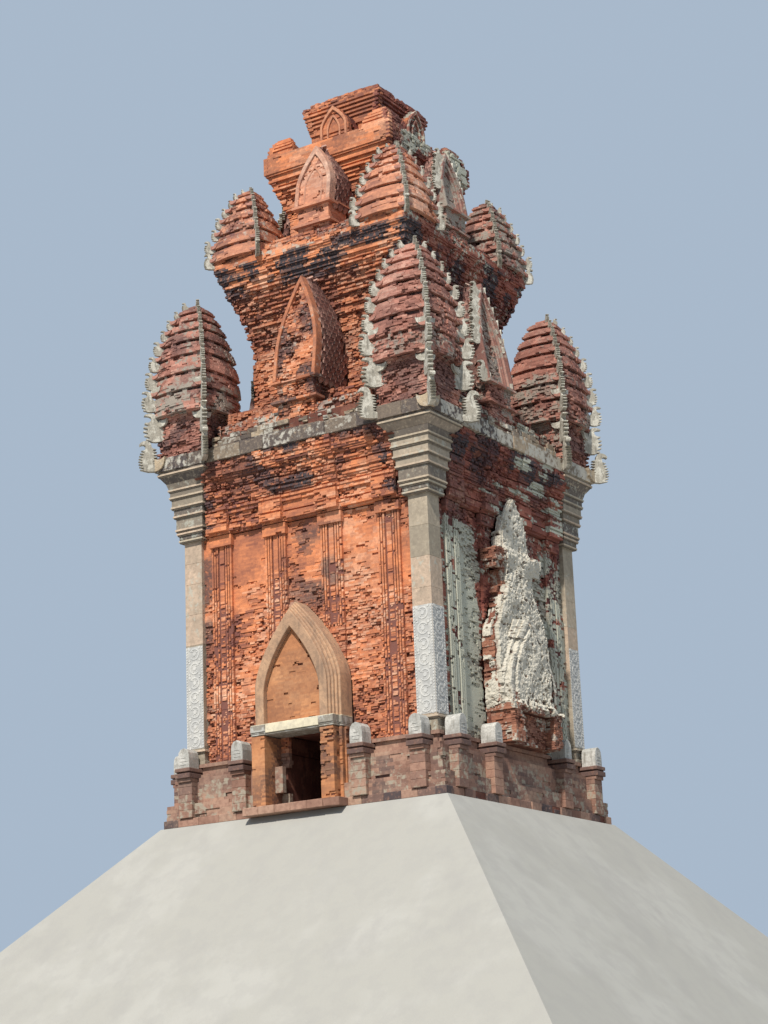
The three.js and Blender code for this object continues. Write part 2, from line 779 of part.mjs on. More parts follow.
const nicheSolid = niche({
  half: NICHE_HALF,
  front: 3865,
  back: 2300,
  foot: 9700,
  sill: 11000,
  spring: 11800,
  apex: 13900,
  lean: 420,
}).subtract(secondClearance);
const upperNicheSolid = niche({
  half: UPPER_NICHE_HALF,
  front: 2800,
  back: 1500,
  foot: 15200,
  sill: 16150,
  spring: 16700,
  apex: 17900,
  lean: 300,
}).subtract(thirdClearance);
for (const [name, quarters] of SIDES) {
  addPiece(`second_storey_niche_${name}`, turned(nicheSolid, quarters), "brick");
}
for (const [name, quarters] of SIDES) {
  addPiece(`third_storey_niche_${name}`, turned(upperNicheSolid, quarters), "brick");
}

export default temple;
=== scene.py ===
"""Looks of the brick temple tower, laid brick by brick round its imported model.

Metres, +Z up, with the porch towards -Y. Each side of the tower is laid in a frame of its own, turned by
quarters about Z: x runs along the face and -y points out of it.
"""

import math

import bmesh
import bpy
import numpy as np
from mathutils import Matrix, Vector, noise
from mathutils.bvhtree import BVHTree

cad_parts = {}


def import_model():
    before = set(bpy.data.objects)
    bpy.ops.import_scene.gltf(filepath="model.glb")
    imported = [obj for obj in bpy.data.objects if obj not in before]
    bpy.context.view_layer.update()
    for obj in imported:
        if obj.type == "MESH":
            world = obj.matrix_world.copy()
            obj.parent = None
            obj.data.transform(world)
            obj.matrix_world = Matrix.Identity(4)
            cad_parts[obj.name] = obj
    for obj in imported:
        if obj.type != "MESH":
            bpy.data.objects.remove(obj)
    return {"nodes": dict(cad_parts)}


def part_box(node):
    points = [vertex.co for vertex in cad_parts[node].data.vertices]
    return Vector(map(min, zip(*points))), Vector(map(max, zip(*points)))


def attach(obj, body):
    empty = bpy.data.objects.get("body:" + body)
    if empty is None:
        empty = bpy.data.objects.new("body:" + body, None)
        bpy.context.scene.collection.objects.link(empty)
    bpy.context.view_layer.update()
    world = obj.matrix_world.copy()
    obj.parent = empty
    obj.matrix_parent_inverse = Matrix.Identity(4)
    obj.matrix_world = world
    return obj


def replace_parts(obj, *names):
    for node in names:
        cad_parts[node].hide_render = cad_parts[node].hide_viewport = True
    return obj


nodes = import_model()["nodes"]
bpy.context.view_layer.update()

# Quarter turns of the four sides, and the corners as the signs of their x and y.
SIDES = {"front": 0, "right": 1, "back": 2, "left": 3}
CORNERS = {"front_left": (-1, -1), "front_right": (1, -1), "back_right": (1, 1), "back_left": (-1, 1)}
ORIGIN = (0, 0)

# Distance of the stone corners and of the lower turrets from both middle planes.
CORNER_PLACE = 3.4

# Brick and block sizes.
COURSE = 0.055
BRICK_LENGTH = 0.25
BRICK_DEPTH = 0.12
JOINT = 0.0012

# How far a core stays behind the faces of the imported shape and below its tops.
CORE_INSET = 0.09
CORE_DROP = 0.012

# The most triangles that one piece of masonry takes.
PIECE_TRIANGLES = 190000

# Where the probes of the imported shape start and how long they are, and the step between them on a course.
PROBE_START = 12
PROBE_LENGTH = 14
PROBE_STEP = 0.02

rng = np.random.default_rng(7)


# Camera and light

CAMERA_PLACE = Vector((28.731, -45.014, -6.868))
CAMERA_YAW = math.radians(122.456)
CAMERA_PITCH = math.radians(15.846)
CAMERA_ROLL = math.radians(-2.251)
CAMERA_LENS = 74.07


def add_camera():
    ahead = Vector(
        (
            math.cos(CAMERA_YAW) * math.cos(CAMERA_PITCH),
            math.sin(CAMERA_YAW) * math.cos(CAMERA_PITCH),
            math.sin(CAMERA_PITCH),
        )
    )
    level = Vector((math.sin(CAMERA_YAW), -math.cos(CAMERA_YAW), 0))
    above = level.cross(ahead)
    right = level * math.cos(CAMERA_ROLL) + above * math.sin(CAMERA_ROLL)
    up = above * math.cos(CAMERA_ROLL) - level * math.sin(CAMERA_ROLL)
    data = bpy.data.cameras.new("camera")
    data.sensor_fit = "VERTICAL"
    data.sensor_height = 36
    data.lens = CAMERA_LENS
    data.clip_end = 500
    camera = bpy.data.objects.new("camera", data)
    matrix = Matrix((right, up, -ahead)).transposed().to_4x4()
    matrix.translation = CAMERA_PLACE
    camera.matrix_world = matrix
    bpy.context.scene.collection.objects.link(camera)
    bpy.context.scene.camera = camera


def add_light():
    sun = bpy.data.lights.new("sun", "SUN")
    sun.energy = 4.9
    sun.angle = math.radians(3)
    sun.color = (1.0, 0.95, 0.87)
    lamp = bpy.data.objects.new("sun", sun)
    lamp.rotation_euler = (math.radians(40), 0, math.radians(12))
    bpy.context.scene.collection.objects.link(lamp)
    world = bpy.data.worlds.new("pale_studio")
    world.use_nodes = True
    background = world.node_tree.nodes["Background"]
    background.inputs["Color"].default_value = (0.66, 0.81, 1.0, 1)
    background.inputs["Strength"].default_value = 0.60
    bpy.context.scene.world = world
    bpy.context.scene.view_settings.view_transform = "Standard"


# Small helpers for meshes


def link(name, mesh, material, slot=None):
    mesh.materials.append(material)
    piece = bpy.data.objects.new(name, mesh)
    bpy.context.scene.collection.objects.link(piece)
    if slot:
        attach(piece, "root")
    return piece


def from_bmesh(name, bm, material, slot=None):
    mesh = bpy.data.meshes.new(name)
    bm.to_mesh(mesh)
    bm.free()
    return link(name, mesh, material, slot)


def turn(quarter, centre=ORIGIN):
    return Matrix.Translation((centre[0], centre[1], 0)) @ Matrix.Rotation(quarter * math.pi / 2, 4, "Z")


def smoothstep(low, high, value):
    t = min(max((value - low) / (high - low), 0.0), 1.0)
    return t * t * (3 - 2 * t)


def turn_side(bm, verts, quarter):
    """Turn what was made for the front to another side."""
    bmesh.ops.rotate(bm, verts=verts, matrix=Matrix.Rotation(quarter * math.pi / 2, 3, "Z"))


def extrude(bm, faces, by=(0, 0, 0)):
    """Extrude faces along a vector, and return the vertices that moved."""
    made = bmesh.ops.extrude_face_region(bm, geom=faces)
    moved = [v for v in made["geom"] if isinstance(v, bmesh.types.BMVert)]
    bmesh.ops.translate(bm, verts=moved, vec=by)
    return moved


def face_from(bm, outline, y=0.0):
    """One upright face from an outline given as (x, z)."""
    return bm.faces.new([bm.verts.new((x, y, z)) for x, z in outline])


def paint_rows(mesh, weathers, stride=1):
    """Give a mesh the weather attribute, with each row for as many vertices as the stride."""
    layer = mesh.attributes.new("weather", "FLOAT_COLOR", "POINT")
    layer.data.foreach_set("color", np.repeat(weathers, stride, axis=0).ravel())


def paint(mesh, weather):
    paint_rows(mesh, [weather], len(mesh.vertices))


def template(bm):
    """A shape as arrays: its points, the sizes of its faces and their corners."""
    bm.verts.index_update()
    shape = np.array([v.co[:] for v in bm.verts])
    sizes = np.array([len(f.verts) for f in bm.faces])
    loops = np.array([v.index for f in bm.faces for v in f.verts])
    bm.free()
    return shape, sizes, loops


def arrays_mesh(name, points, pattern):
    """One mesh of many shapes of one pattern, each with its own points."""
    shape, sizes, loops = pattern
    count = len(points)
    all_loops = (loops[None, :] + len(shape) * np.arange(count)[:, None]).ravel()
    all_sizes = np.tile(sizes, count)
    starts = np.concatenate(([0], np.cumsum(all_sizes)[:-1]))
    mesh = bpy.data.meshes.new(name)
    mesh.vertices.add(count * len(shape))
    mesh.vertices.foreach_set("co", points.ravel())
    mesh.loops.add(len(all_loops))
    mesh.loops.foreach_set("vertex_index", all_loops)
    mesh.polygons.add(len(all_sizes))
    mesh.polygons.foreach_set("loop_start", starts)
    mesh.update(calc_edges=True)
    mesh.shade_flat()
    return mesh


class Surface:
    """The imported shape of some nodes, asked how far out it stands."""

    def __init__(self, *names):
        points = []
        faces = []
        for name in names:
            mesh = nodes[name].data
            start = len(points)
            points.extend(v.co.copy() for v in mesh.vertices)
            faces.extend([start + i for i in p.vertices] for p in mesh.polygons)
        self.tree = BVHTree.FromPolygons(points, faces)
        heights = [p.z for p in points]
        self.bottom = min(heights)
        self.top = max(heights)
        self.levels = sorted({round(z, 3) for z in heights})

    def depth(self, quarter, centre, x, z):
        """Distance from the centre to the surface, looking at a side from outside, or None."""
        place = turn(quarter, centre)
        start = place @ Vector((x, -PROBE_START, z))
        hit = self.tree.ray_cast(start, place.to_3x3() @ Vector((0, 1, 0)), PROBE_LENGTH)
        return None if hit[0] is None else PROBE_START - hit[3]


# Columns of a box's row, after its six limits.
QUARTER, CENTRE_X, CENTRE_Y, FLARE, TONE, SOOT_AND_SHADE, LICHEN, WEAR_AND_SHADE, BOW, BOW_HALF = range(6, 16)


class Masonry:
    """Bricks or blocks gathered as boxes in the frames of their sides, then joined into meshes."""

    def __init__(self, chip=0.002, bevel=0.0):
        self.boxes = []
        self.chip = chip
        self.bevel = bevel

    def add(self, quarter, centre, x0, x1, y0, y1, z0, z1, weather, flare=0.0, bow=(0.0, 1.0)):
        """Add a box that widens by flare at its top.

        Its front bows out by bow[0] in the middle of a face that is bow[1] in half width.
        """
        self.boxes.append((x0, x1, y0, y1, z0, z1, quarter, *centre, flare, *weather, *bow))

    def build(self, name, material, slot):
        pattern = block_template(self.bevel > 0)
        per_piece = PIECE_TRIANGLES // int((pattern[1] - 2).sum())
        rows = np.array(self.boxes)
        pieces = []
        for part, start in enumerate(range(0, len(rows), per_piece)):
            label = name if len(rows) <= per_piece else f"{name}_{part + 1}"
            mesh = boxes_mesh(label, rows[start : start + per_piece], pattern, self.chip, self.bevel)
            pieces.append(link(label, mesh, material, slot))
        return pieces


def block_template(bevelled):
    """A cube of side 2: large blocks have a small bevel, and bricks go without their hidden back."""
    bm = bmesh.new()
    bmesh.ops.create_cube(bm, size=2)
    if bevelled:
        bevel_edges(bm, bm.edges[:], 0.2, 1)
    else:
        back = [f for f in bm.faces if f.calc_center_median().y > 0.9]
        bmesh.ops.delete(bm, geom=back, context="FACES_ONLY")
    return template(bm)


def bevel_edges(bm, edges, width, segments):
    bmesh.ops.bevel(
        bm, geom=edges, offset=width, offset_type="OFFSET", segments=segments, profile=0.5, affect="EDGES",
        material=-1,
    )


def boxes_mesh(name, rows, pattern, chip, bevel):
    """A mesh of boxes with a chip knocked off each corner, more on worn ones."""
    shape = pattern[0]
    low = rows[:, None, [0, 2, 4]]
    high = rows[:, None, [1, 3, 5]]
    middle = (low + high) / 2
    half = (high - low) / 2
    sign = np.sign(shape)[None]
    drawn_in = (np.abs(shape) < 0.95)[None] * np.minimum(bevel, half * 0.45)
    points = middle + sign * (half - drawn_in)
    flare = rows[:, None, FLARE] * (sign[:, :, 2] > 0)
    points[:, :, 0] += sign[:, :, 0] * flare
    points[:, :, 1] += sign[:, :, 1] * flare
    wear = rows[:, WEAR_AND_SHADE][:, None]
    chipped = rng.random((len(rows), len(shape), 3))
    outer = shape[None, :, 1] < 0
    points[:, :, 1] += np.where(outer, chipped[:, :, 1] * chip * 8 * np.maximum(wear - 0.22, 0), 0)
    points[:, :, 0] -= sign[:, :, 0] * chipped[:, :, 0] * chip * 2.5 * wear**2
    points[:, :, 2] -= sign[:, :, 2] * chipped[:, :, 2] * chip * 2.5 * wear**2
    across = points[:, :, 0].copy()
    outward = points[:, :, 1] - rows[:, BOW][:, None] * (1 - (across / rows[:, BOW_HALF][:, None]) ** 2)
    angle = rows[:, QUARTER] * math.pi / 2
    cosine = np.cos(angle)[:, None]
    sine = np.sin(angle)[:, None]
    points[:, :, 0] = across * cosine - outward * sine + rows[:, CENTRE_X][:, None]
    points[:, :, 1] = across * sine + outward * cosine + rows[:, CENTRE_Y][:, None]
    mesh = arrays_mesh(name, points, pattern)
    paint_rows(mesh, rows[:, TONE : WEAR_AND_SHADE + 1], len(shape))
    return mesh


# Weather: how each brick is worn, stained and grown over, from its place on the tower


def rough(place, scale, octaves=3):
    return noise.fractal(place * scale, 0.9, 2.1, octaves)


def weather_at(area, quarter, centre, x, depth, z):
    """Tone, soot with painted shade, lichen and wear of a brick, each from 0 to 1; some areas raise the wear
    to paint shade.
    """
    place = turn(quarter, centre) @ Vector((x, -depth, z))
    patch = rough(place + Vector((0, 0, 40)), 0.6)
    fine = rough(place, 2.6, 2)
    wear, soot_and_shade, lichen = area(quarter, x, z)
    wear = wear + 0.36 * patch + 0.14 * fine
    sound = smoothstep(0.40, 0.16, wear)
    tone = 0.48 + 0.34 * rough(place + Vector((9, 3, 0)), 0.8)
    tone += rng.uniform(-0.26, 0.26) * (1 - 0.75 * sound)
    soot_and_shade = soot_and_shade * smoothstep(-0.25, 0.25, rough(place + Vector((5, 0, 7)), 1.3))
    lichen = lichen * smoothstep(-0.35, 0.3, rough(place + Vector((0, 8, 2)), 1.7) + 0.35 * (lichen - 0.5))
    return tuple(min(max(v, 0.0), 1.0) for v in (tone, soot_and_shade, lichen, wear))


def pit_depth(quarter, centre, x, depth, z, wear):
    """How far a brick is worn back: ragged hollows where the wall is worn, single pits elsewhere."""
    place = turn(quarter, centre) @ Vector((x, -depth, z))
    stretched = Vector((place.x * 4.2, place.y * 4.2, place.z * 5.6))
    gnawed = noise.noise(stretched) + 0.7 * noise.noise(stretched * 2.4)
    limit = 0.60 - 0.85 * wear
    if gnawed > limit:
        return 0.015 + 0.10 * min((gnawed - limit) * 2.2, 1.0) * (0.45 + wear)
    if rng.random() < 0.10 * wear - 0.006:
        return rng.uniform(0.02, 0.07)
    if rng.random() < 0.65 * smoothstep(0.2, 0.5, wear):
        return rng.uniform(0.004, 0.014 + 0.03 * wear)
    return rng.uniform(0.0, 0.010 * max(wear - 0.25, 0.0))


def wall_area(quarter, x, z):
    lower = smoothstep(6.6, 4.6, z)
    if quarter == 0:
        smooth_left = smoothstep(-0.2, -1.2, x) * (1 - lower)
        wear = 0.28 + 0.24 * lower - 0.26 * smooth_left
        middle = smoothstep(1.4, 0.2, abs(x - 0.35)) * smoothstep(4.6, 5.3, z) * smoothstep(7.4, 6.9, z)
        right = 0.35 * smoothstep(1.2, 2.0, x) * smoothstep(5.2, 6.2, z)
        # Painted shade in the strip beside the left stone corner.
        edge = 0.8 * smoothstep(-2.8, -2.86, x)
        return wear, max(0.8 * middle, right, edge), 0.04
    if quarter == 1:
        strip = smoothstep(-0.9, -1.5, x) * smoothstep(-3.0, -2.8, x)
        pale = max(2.2 * strip, 1.3 * smoothstep(1.2, 1.6, x))
        pale *= smoothstep(7.2, 6.6, z)
        # The right wall darkens towards the top.
        return 0.30 + 0.16 * smoothstep(-2.3, -1.9, x), 0.6 * smoothstep(5.8, 7.0, z), max(pale, 0.3)
    return 0.34, 0.25, 0.4


def cornice_area(quarter, x, z):
    # Darker towards the top, under the slab.
    top = smoothstep(8.0, 8.7, z)
    if quarter == 0:
        soot_and_shade = 1.5 * smoothstep(1.5, 0.5, abs(x + 0.5)) * smoothstep(7.9, 8.3, z)
        # Painted shadow of the stone capitals on the cornice beside them.
        capital_shadow = smoothstep(0.5, 0.25, capital_reach(z) - abs(x)) * smoothstep(7.4, 7.8, z)
        return 0.36 + 0.24 * top + 0.25 * capital_shadow, max(soot_and_shade, 0.9 * top, 5.0 * capital_shadow), 0.05
    if quarter == 1:
        hollow = smoothstep(1.3, 0.4, math.hypot((x + 0.9) * 0.8, (z - 8.7) * 1.6))
        streaks = max(noise.noise(Vector((x * 0.9, 3, z * 6.0))) + 0.12, 0.0)
        # Darkened towards the top as painted shade under the slab, and round a worn hollow near the left end.
        soot_and_shade = 0.4 + 1.2 * max(0.6 * top, hollow)
        return 0.34 + 0.3 * hollow, soot_and_shade, 3.0 * streaks * smoothstep(-1.8, 0.0, x) * (1 - hollow)
    return 0.4, 0.5 * top, 0.3


def base_area(quarter, x, z):
    streak = smoothstep(-0.1, 0.4, noise.noise(Vector((x * 2.1 + 7 * quarter, z * 0.3, 5))))
    lower = smoothstep(1.16, 1.0, z)
    return 0.1, 0.3 + 0.35 * streak * lower, 0.15 + 0.55 * lower * (1 - 0.6 * streak)


def floor_area(quarter, x, z):
    return 0.3, 0.9, 0.15


def storey_area(quarter, x, z):
    # Darker under the slab above each storey: painted shade with some soot.
    under_slab = smoothstep(13.9, 14.4, z) if z < 15.0 else smoothstep(17.2, 17.7, z)
    parapet = smoothstep(10.65, 10.2, z)
    edge = smoothstep(14.8, 14.9, z) * smoothstep(15.4, 15.3, z)
    grown = 1.5 if quarter == 1 else 0.8
    lichen = max(grown * parapet, 0.5 * edge, 0.32 if quarter in (1, 2) else 0.03)
    wear = 0.64 + 0.05 * parapet - 0.46 * smoothstep(15.4, 16.0, z) - 0.34 * under_slab
    if z > 15.3:
        if quarter == 1:
            lichen = 0.95 * smoothstep(-1.8, -1.2, x)
            wear = max(wear, 0.42)
        # Darker under the slab at the top as well.
        return wear, 0.1 + 0.35 * smoothstep(17.5, 17.75, z), lichen
    return wear, (0.35 + 6.0 * under_slab) * (1 - edge), lichen


def top_area(quarter, x, z):
    if quarter == 1 and z < 19.4:
        return 0.45, 0.5, smoothstep(-1.0, -0.5, x)
    return 0.12 + 0.3 * smoothstep(19.5, 19.8, z), 0.3, 0.06


def turret_area(foot, top, greyness, storey_foot, pale_front=0.0):
    """Weather of a turret: how grey its dome is, whether it has a worn red foot, and lichen on its front."""

    def area(quarter, x, z):
        t = (z - foot) / (top - foot)
        shoulder = smoothstep(0.25, 0.29, t) * smoothstep(0.47, 0.38, t) if storey_foot else 0.0
        foot_wear = smoothstep(0.27, 0.22, t) if storey_foot else 0.0
        lichen = 0.8 * greyness * (1 - 0.7 * foot_wear) * smoothstep(1.05, 0.8, t) + 0.5 * shoulder
        if quarter == 0:
            lichen += pale_front * smoothstep(0.66, 0.45, t)
        if quarter == 1:
            lichen += 0.15
        wear = 0.27 + 0.1 * greyness + 0.26 * foot_wear + 0.1 * shoulder
        return wear, 0.12 + 0.35 * foot_wear + 0.5 * greyness, min(lichen, 1.0)

    return area


def slot_painted_shade_area(quarter, x, z):
    """Painted shade in the sunk slots between the courses of a dome: much soot and some wear."""
    return 0.5, 2.0, 0.0


def false_door_area(quarter, x, z):
    return 0.5, 0.3, 0.45


# Courses

# Bricks are left out where the crust's cover over them is above this.
HIDDEN_COVER = 0.3


def level_stretches(surface, covers, quarter, centre, z, reach):
    """Stretches of level face at height z that no cover stands in front of, as (x0, x1, depth)."""
    found = []
    current = None
    for i in range(int(round(2 * reach / PROBE_STEP)) + 1):
        x = -reach + i * PROBE_STEP
        depth = surface.depth(quarter, centre, x, z)
        if depth is not None and covers:
            outer = covers.depth(quarter, centre, x, z)
            if outer is not None and outer > depth + 0.04:
                depth = None
        if depth is not None and depth < 0.25:
            depth = None
        if current and (depth is None or abs(depth - current[2]) > 0.006):
            found.append(tuple(current))
            current = None
        if depth is not None:
            if current:
                current[1] = x + PROBE_STEP / 2
            else:
                current = [x - PROBE_STEP / 2, x + PROBE_STEP / 2, depth]
    if current:
        found.append(tuple(current))
    return found


def ring_stretch(surface, quarter, centre, z):
    depth = surface.depth(quarter, centre, 0.0, z)
    return [] if depth is None else [(-depth, depth, depth)]


def lay_stretch(
    masonry, stretch, quarter, centre, z0, z1, course, area, length=BRICK_LENGTH, depth_in=BRICK_DEPTH,
    bow=(0.0, 1.0), hidden=None,
):
    """Bricks of one course along one stretch, staggered from the course below, except where hidden."""
    x0, x1, face = stretch
    for sign, end in ((-1, x0), (1, x1)):
        at_corner = abs(abs(end) - face) < 0.03
        if at_corner and (course + quarter) % 2:
            if sign < 0:
                x0 = -face + depth_in
            else:
                x1 = face - depth_in
    x = x0
    height = (z0 + z1) / 2
    first = True
    while x < x1 - 0.005:
        probe = x + 0.06
        weather = weather_at(area, quarter, centre, probe, face, height)
        pit = min(pit_depth(quarter, centre, probe, face, height, weather[3]), depth_in * 0.85)
        size = length * rng.uniform(0.78, 1.2)
        if length < 0.3:
            longer = 0.8 * smoothstep(0.14, 0.0, weather[3])
            shorter = 0.55 * smoothstep(0.28, 0.46, weather[3])
            size *= 1 + longer - shorter
            if pit > 0.015:
                size = rng.uniform(0.09, 0.21)
        if first:
            size *= 0.55 if course % 2 else 1.0
            first = False
        end = x + size
        if x1 - end < length * 0.3:
            end = x1
        if hidden and hidden(quarter, (x + end) / 2, height) > HIDDEN_COVER:
            x = end
            continue
        sound = pit < 0.015 and (weather[3] < 0.3 or weather[2] > 0.75)
        gap = 0.0 if sound and length < 0.3 else JOINT / 2
        if sound:
            pit *= 0.3
        # A pit's depth raises the last channel, which paints shade into the pit.
        masonry.add(
            quarter, centre, x + gap, end - gap, -face + pit, -face + depth_in + 0.02, z0 + gap, z1 - gap,
            weather[:3] + (min(weather[3] + pit * 5, 1.0),), bow=bow,
        )
        if pit > 0.03 and rng.random() < 0.45:
            add_stump(masonry, quarter, centre, (x, end), -face, pit, (z0, z1), weather)
        x = end


def add_stump(masonry, quarter, centre, across, front, pit, up, weather):
    """What is left of a worn brick: a smaller piece that stands out of its pit."""
    width = (across[1] - across[0]) * rng.uniform(0.3, 0.6)
    x = rng.uniform(across[0], across[1] - width)
    height = (up[1] - up[0]) * rng.uniform(0.45, 0.8)
    z = rng.uniform(up[0], up[1] - height)
    stands = pit * rng.uniform(0.15, 0.6)
    masonry.add(quarter, centre, x, x + width, front + stands, front + pit + 0.02, z, z + height, weather)


def lay_courses(
    masonry, surface, area, quarter, centre=ORIGIN, z0=None, z1=None, reach=None, covers=None, ribs=None,
    back=None, furthest=None, pitch=COURSE, length=BRICK_LENGTH, recut=None, hidden=None, hidden_flank=None,
):
    """All courses of one side of a surface, between two heights where they are given.

    Without a reach the plan is a square ring, and otherwise the reach is a number or comes from the
    height. With a back, the flanks of each stretch are laid too, as deep as that distance from the centre.
    With a recut, each stretch becomes the ones it returns.
    """
    z0 = surface.bottom if z0 is None else z0
    z1 = surface.top if z1 is None else z1
    course = 0
    z = z0
    while z < z1 - pitch * 0.5:
        top = min(z + pitch, z1)
        middle = (z + top) / 2
        if reach is None:
            stretches = ring_stretch(surface, quarter, centre, middle)
        else:
            span = reach(middle) if callable(reach) else reach
            stretches = level_stretches(surface, covers, quarter, centre, middle, span)
        if recut:
            stretches = [piece for stretch in stretches for piece in recut(stretch, middle)]
        for stretch in stretches:
            if furthest and stretch[2] > furthest:
                continue
            if ribs and ribs(stretch, middle):
                lay_ribbed(masonry, stretch, quarter, centre, z, top, course, area)
            else:
                lay_stretch(masonry, stretch, quarter, centre, z, top, course, area, length, hidden=hidden)
            if back is not None:
                lay_flanks(masonry, stretch, quarter, centre, z, top, course, area, back, hidden_flank)
        z = top
        course += 1


def lay_flanks(masonry, stretch, quarter, centre, z0, z1, course, area, back, hidden):
    """Bricks along both flanks of a stretch, from behind its face to the wall it stands on."""
    x0, x1, face = stretch
    for sign, end in ((-1, x0), (1, x1)):
        depth = face - BRICK_DEPTH
        first = True
        while depth > back + 0.03:
            size = BRICK_LENGTH * rng.uniform(0.82, 1.18) * (0.6 if first and course % 2 else 1.0)
            first = False
            inner = max(depth - size, back)
            middle = (depth + inner) / 2
            height = (z0 + z1) / 2
            if hidden and hidden(quarter + sign, -sign * middle, height) > HIDDEN_COVER:
                depth = inner
                continue
            weather = weather_at(area, quarter, centre, end, middle, height)
            pit = min(pit_depth(quarter, centre, end + middle, middle, height, weather[3]), 0.07)
            edge = end - sign * pit
            near, far = sorted((edge, edge - sign * BRICK_DEPTH))
            masonry.add(quarter, centre, near, far, -depth, -inner, z0, z1, weather)
            depth = inner


# A pilaster's face: grooved fillets along both edges and a slightly sunk field between them.
RIB_WIDTHS = (0.052, 0.026, 0.046, 0.028, 0.044, 0.026)
FIELD_SINK = 0.02
GROOVE_SINK = 0.045
GROOVE_COURSES = 6


def lay_ribbed(masonry, stretch, quarter, centre, z0, z1, course, area):
    x0, x1, face = stretch
    edges = [0.0]
    for width in RIB_WIDTHS:
        edges.append(edges[-1] + width)
    for i, width in enumerate(RIB_WIDTHS):
        if i % 2:
            continue
        for left, right in ((x0 + edges[i], x0 + edges[i + 1]), (x1 - edges[i + 1], x1 - edges[i])):
            middle = (left + right) / 2
            weather = weather_at(area, quarter, centre, middle, face, z0)
            pit = pit_depth(quarter, centre, middle, face, z0, weather[3] * 0.8)
            masonry.add(quarter, centre, left, right, -face + pit, -face + BRICK_DEPTH, z0, z1, weather)
    field = (x0 + edges[-1] + 0.02, x1 - edges[-1] - 0.02, face - FIELD_SINK)
    lay_stretch(masonry, field, quarter, centre, z0, z1, course, area)
    back = face - GROOVE_SINK
    if course % GROOVE_COURSES == 0:
        top = z0 + COURSE * GROOVE_COURSES
        # The groove's back is painted dark as shade.
        masonry.add(quarter, centre, x0, x1, -back, -back + 0.06, z0, top, (0.1, 0.3, 0.0, 0.8))


# Between which widths and depths a stretch of wall is a pilaster's face, and up to what height.
PILASTER_WIDTHS = (0.5, 0.7)
PILASTER_DEPTHS = (3.62, 3.66)
PILASTER_TOP = 7.04


def pilaster_face(stretch, z):
    width = stretch[1] - stretch[0]
    wide = PILASTER_WIDTHS[0] < width < PILASTER_WIDTHS[1]
    return wide and PILASTER_DEPTHS[0] < stretch[2] < PILASTER_DEPTHS[1] and z < PILASTER_TOP


# Cores: what shows behind and between the bricks, coloured near black as painted shade


def shrunken(name, inset):
    """A copy of a node's mesh, drawn in from its upright faces by the inset and a little from level ones."""
    bm = bmesh.new()
    bm.from_mesh(nodes[name].data)
    bmesh.ops.remove_doubles(bm, verts=bm.verts, dist=0.0004)
    bm.normal_update()
    moves = {}
    for vert in bm.verts:
        normals = []
        for face in vert.link_faces:
            if face.calc_area() > 1e-6 and not any(face.normal.dot(n) > 0.985 for n in normals):
                normals.append(face.normal.copy())
        if not normals:
            continue
        wanted = [-(CORE_DROP if abs(n.z) > 0.9 else inset) for n in normals]
        move = np.linalg.lstsq(np.array([n[:] for n in normals]), np.array(wanted), rcond=None)[0]
        size = float(np.linalg.norm(move))
        if size > inset * 1.8:
            move = move * inset * 1.8 / size
        moves[vert] = Vector(move)
    for vert, move in moves.items():
        vert.co += move
    return bm


def add_core(node, slot, inset=CORE_INSET):
    core = from_bmesh(f"{node}_core", shrunken(node, inset), painted_shade_core, slot)
    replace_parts(core, node)
    return core


# Materials

# Soot and painted shade share this bluish near-black.
SOOT_AND_SHADE_COLOUR = (0.06, 0.05, 0.055)


def add_node(tree, kind, inputs=None, **settings):
    made = tree.nodes.new(kind)
    for key, value in settings.items():
        setattr(made, key, value)
    for key, value in (inputs or {}).items():
        if isinstance(value, bpy.types.NodeSocket):
            tree.links.new(value, made.inputs[key])
        else:
            made.inputs[key].default_value = value
    return made


def new_group(name, inputs, outputs):
    group = bpy.data.node_groups.new(name, "ShaderNodeTree")
    for label, kind, value in inputs:
        socket = group.interface.new_socket(label, in_out="INPUT", socket_type=kind)
        if value is not None:
            socket.default_value = value
    for label, kind in outputs:
        group.interface.new_socket(label, in_out="OUTPUT", socket_type=kind)
    entry = group.nodes.new("NodeGroupInput").outputs
    finish = group.nodes.new("NodeGroupOutput").inputs
    return group, entry, finish


def mix(tree, factor, first, second):
    made = add_node(tree, "ShaderNodeMix", data_type="RGBA")
    for index, value in ((0, factor), (6, first), (7, second)):
        if isinstance(value, bpy.types.NodeSocket):
            tree.links.new(value, made.inputs[index])
        else:
            made.inputs[index].default_value = (*value, 1.0)
    return made.outputs[2]


def times(tree, first, second):
    return add_node(tree, "ShaderNodeMath", {0: first, 1: second}, operation="MULTIPLY").outputs[0]


def map_range(tree, value, low, high, to_max=1.0, **settings):
    inputs = {"Value": value, "From Min": low, "From Max": high, "To Max": to_max}
    return add_node(tree, "ShaderNodeMapRange", inputs, **settings).outputs["Result"]


def patches_group():
    """A mask of soft-edged patches."""
    group, entry, finish = new_group(
        "patches",
        [
            ("Scale", "NodeSocketFloat", 1.0),
            ("Low", "NodeSocketFloat", 0.45),
            ("High", "NodeSocketFloat", 0.6),
            ("Stretch", "NodeSocketVector", (1, 1, 1)),
        ],
        [("Mask", "NodeSocketFloat")],
    )
    coords = add_node(group, "ShaderNodeTexCoord").outputs["Object"]
    scaled = add_node(group, "ShaderNodeMapping", {"Vector": coords, "Scale": entry["Stretch"]})
    inputs = {"Vector": scaled.outputs["Vector"], "Scale": entry["Scale"], "Detail": 4.0, "Roughness": 0.6}
    clouds = add_node(group, "ShaderNodeTexNoise", inputs).outputs["Fac"]
    mask = map_range(group, clouds, entry["Low"], entry["High"], interpolation_type="SMOOTHSTEP")
    group.links.new(mask, finish["Mask"])
    return group


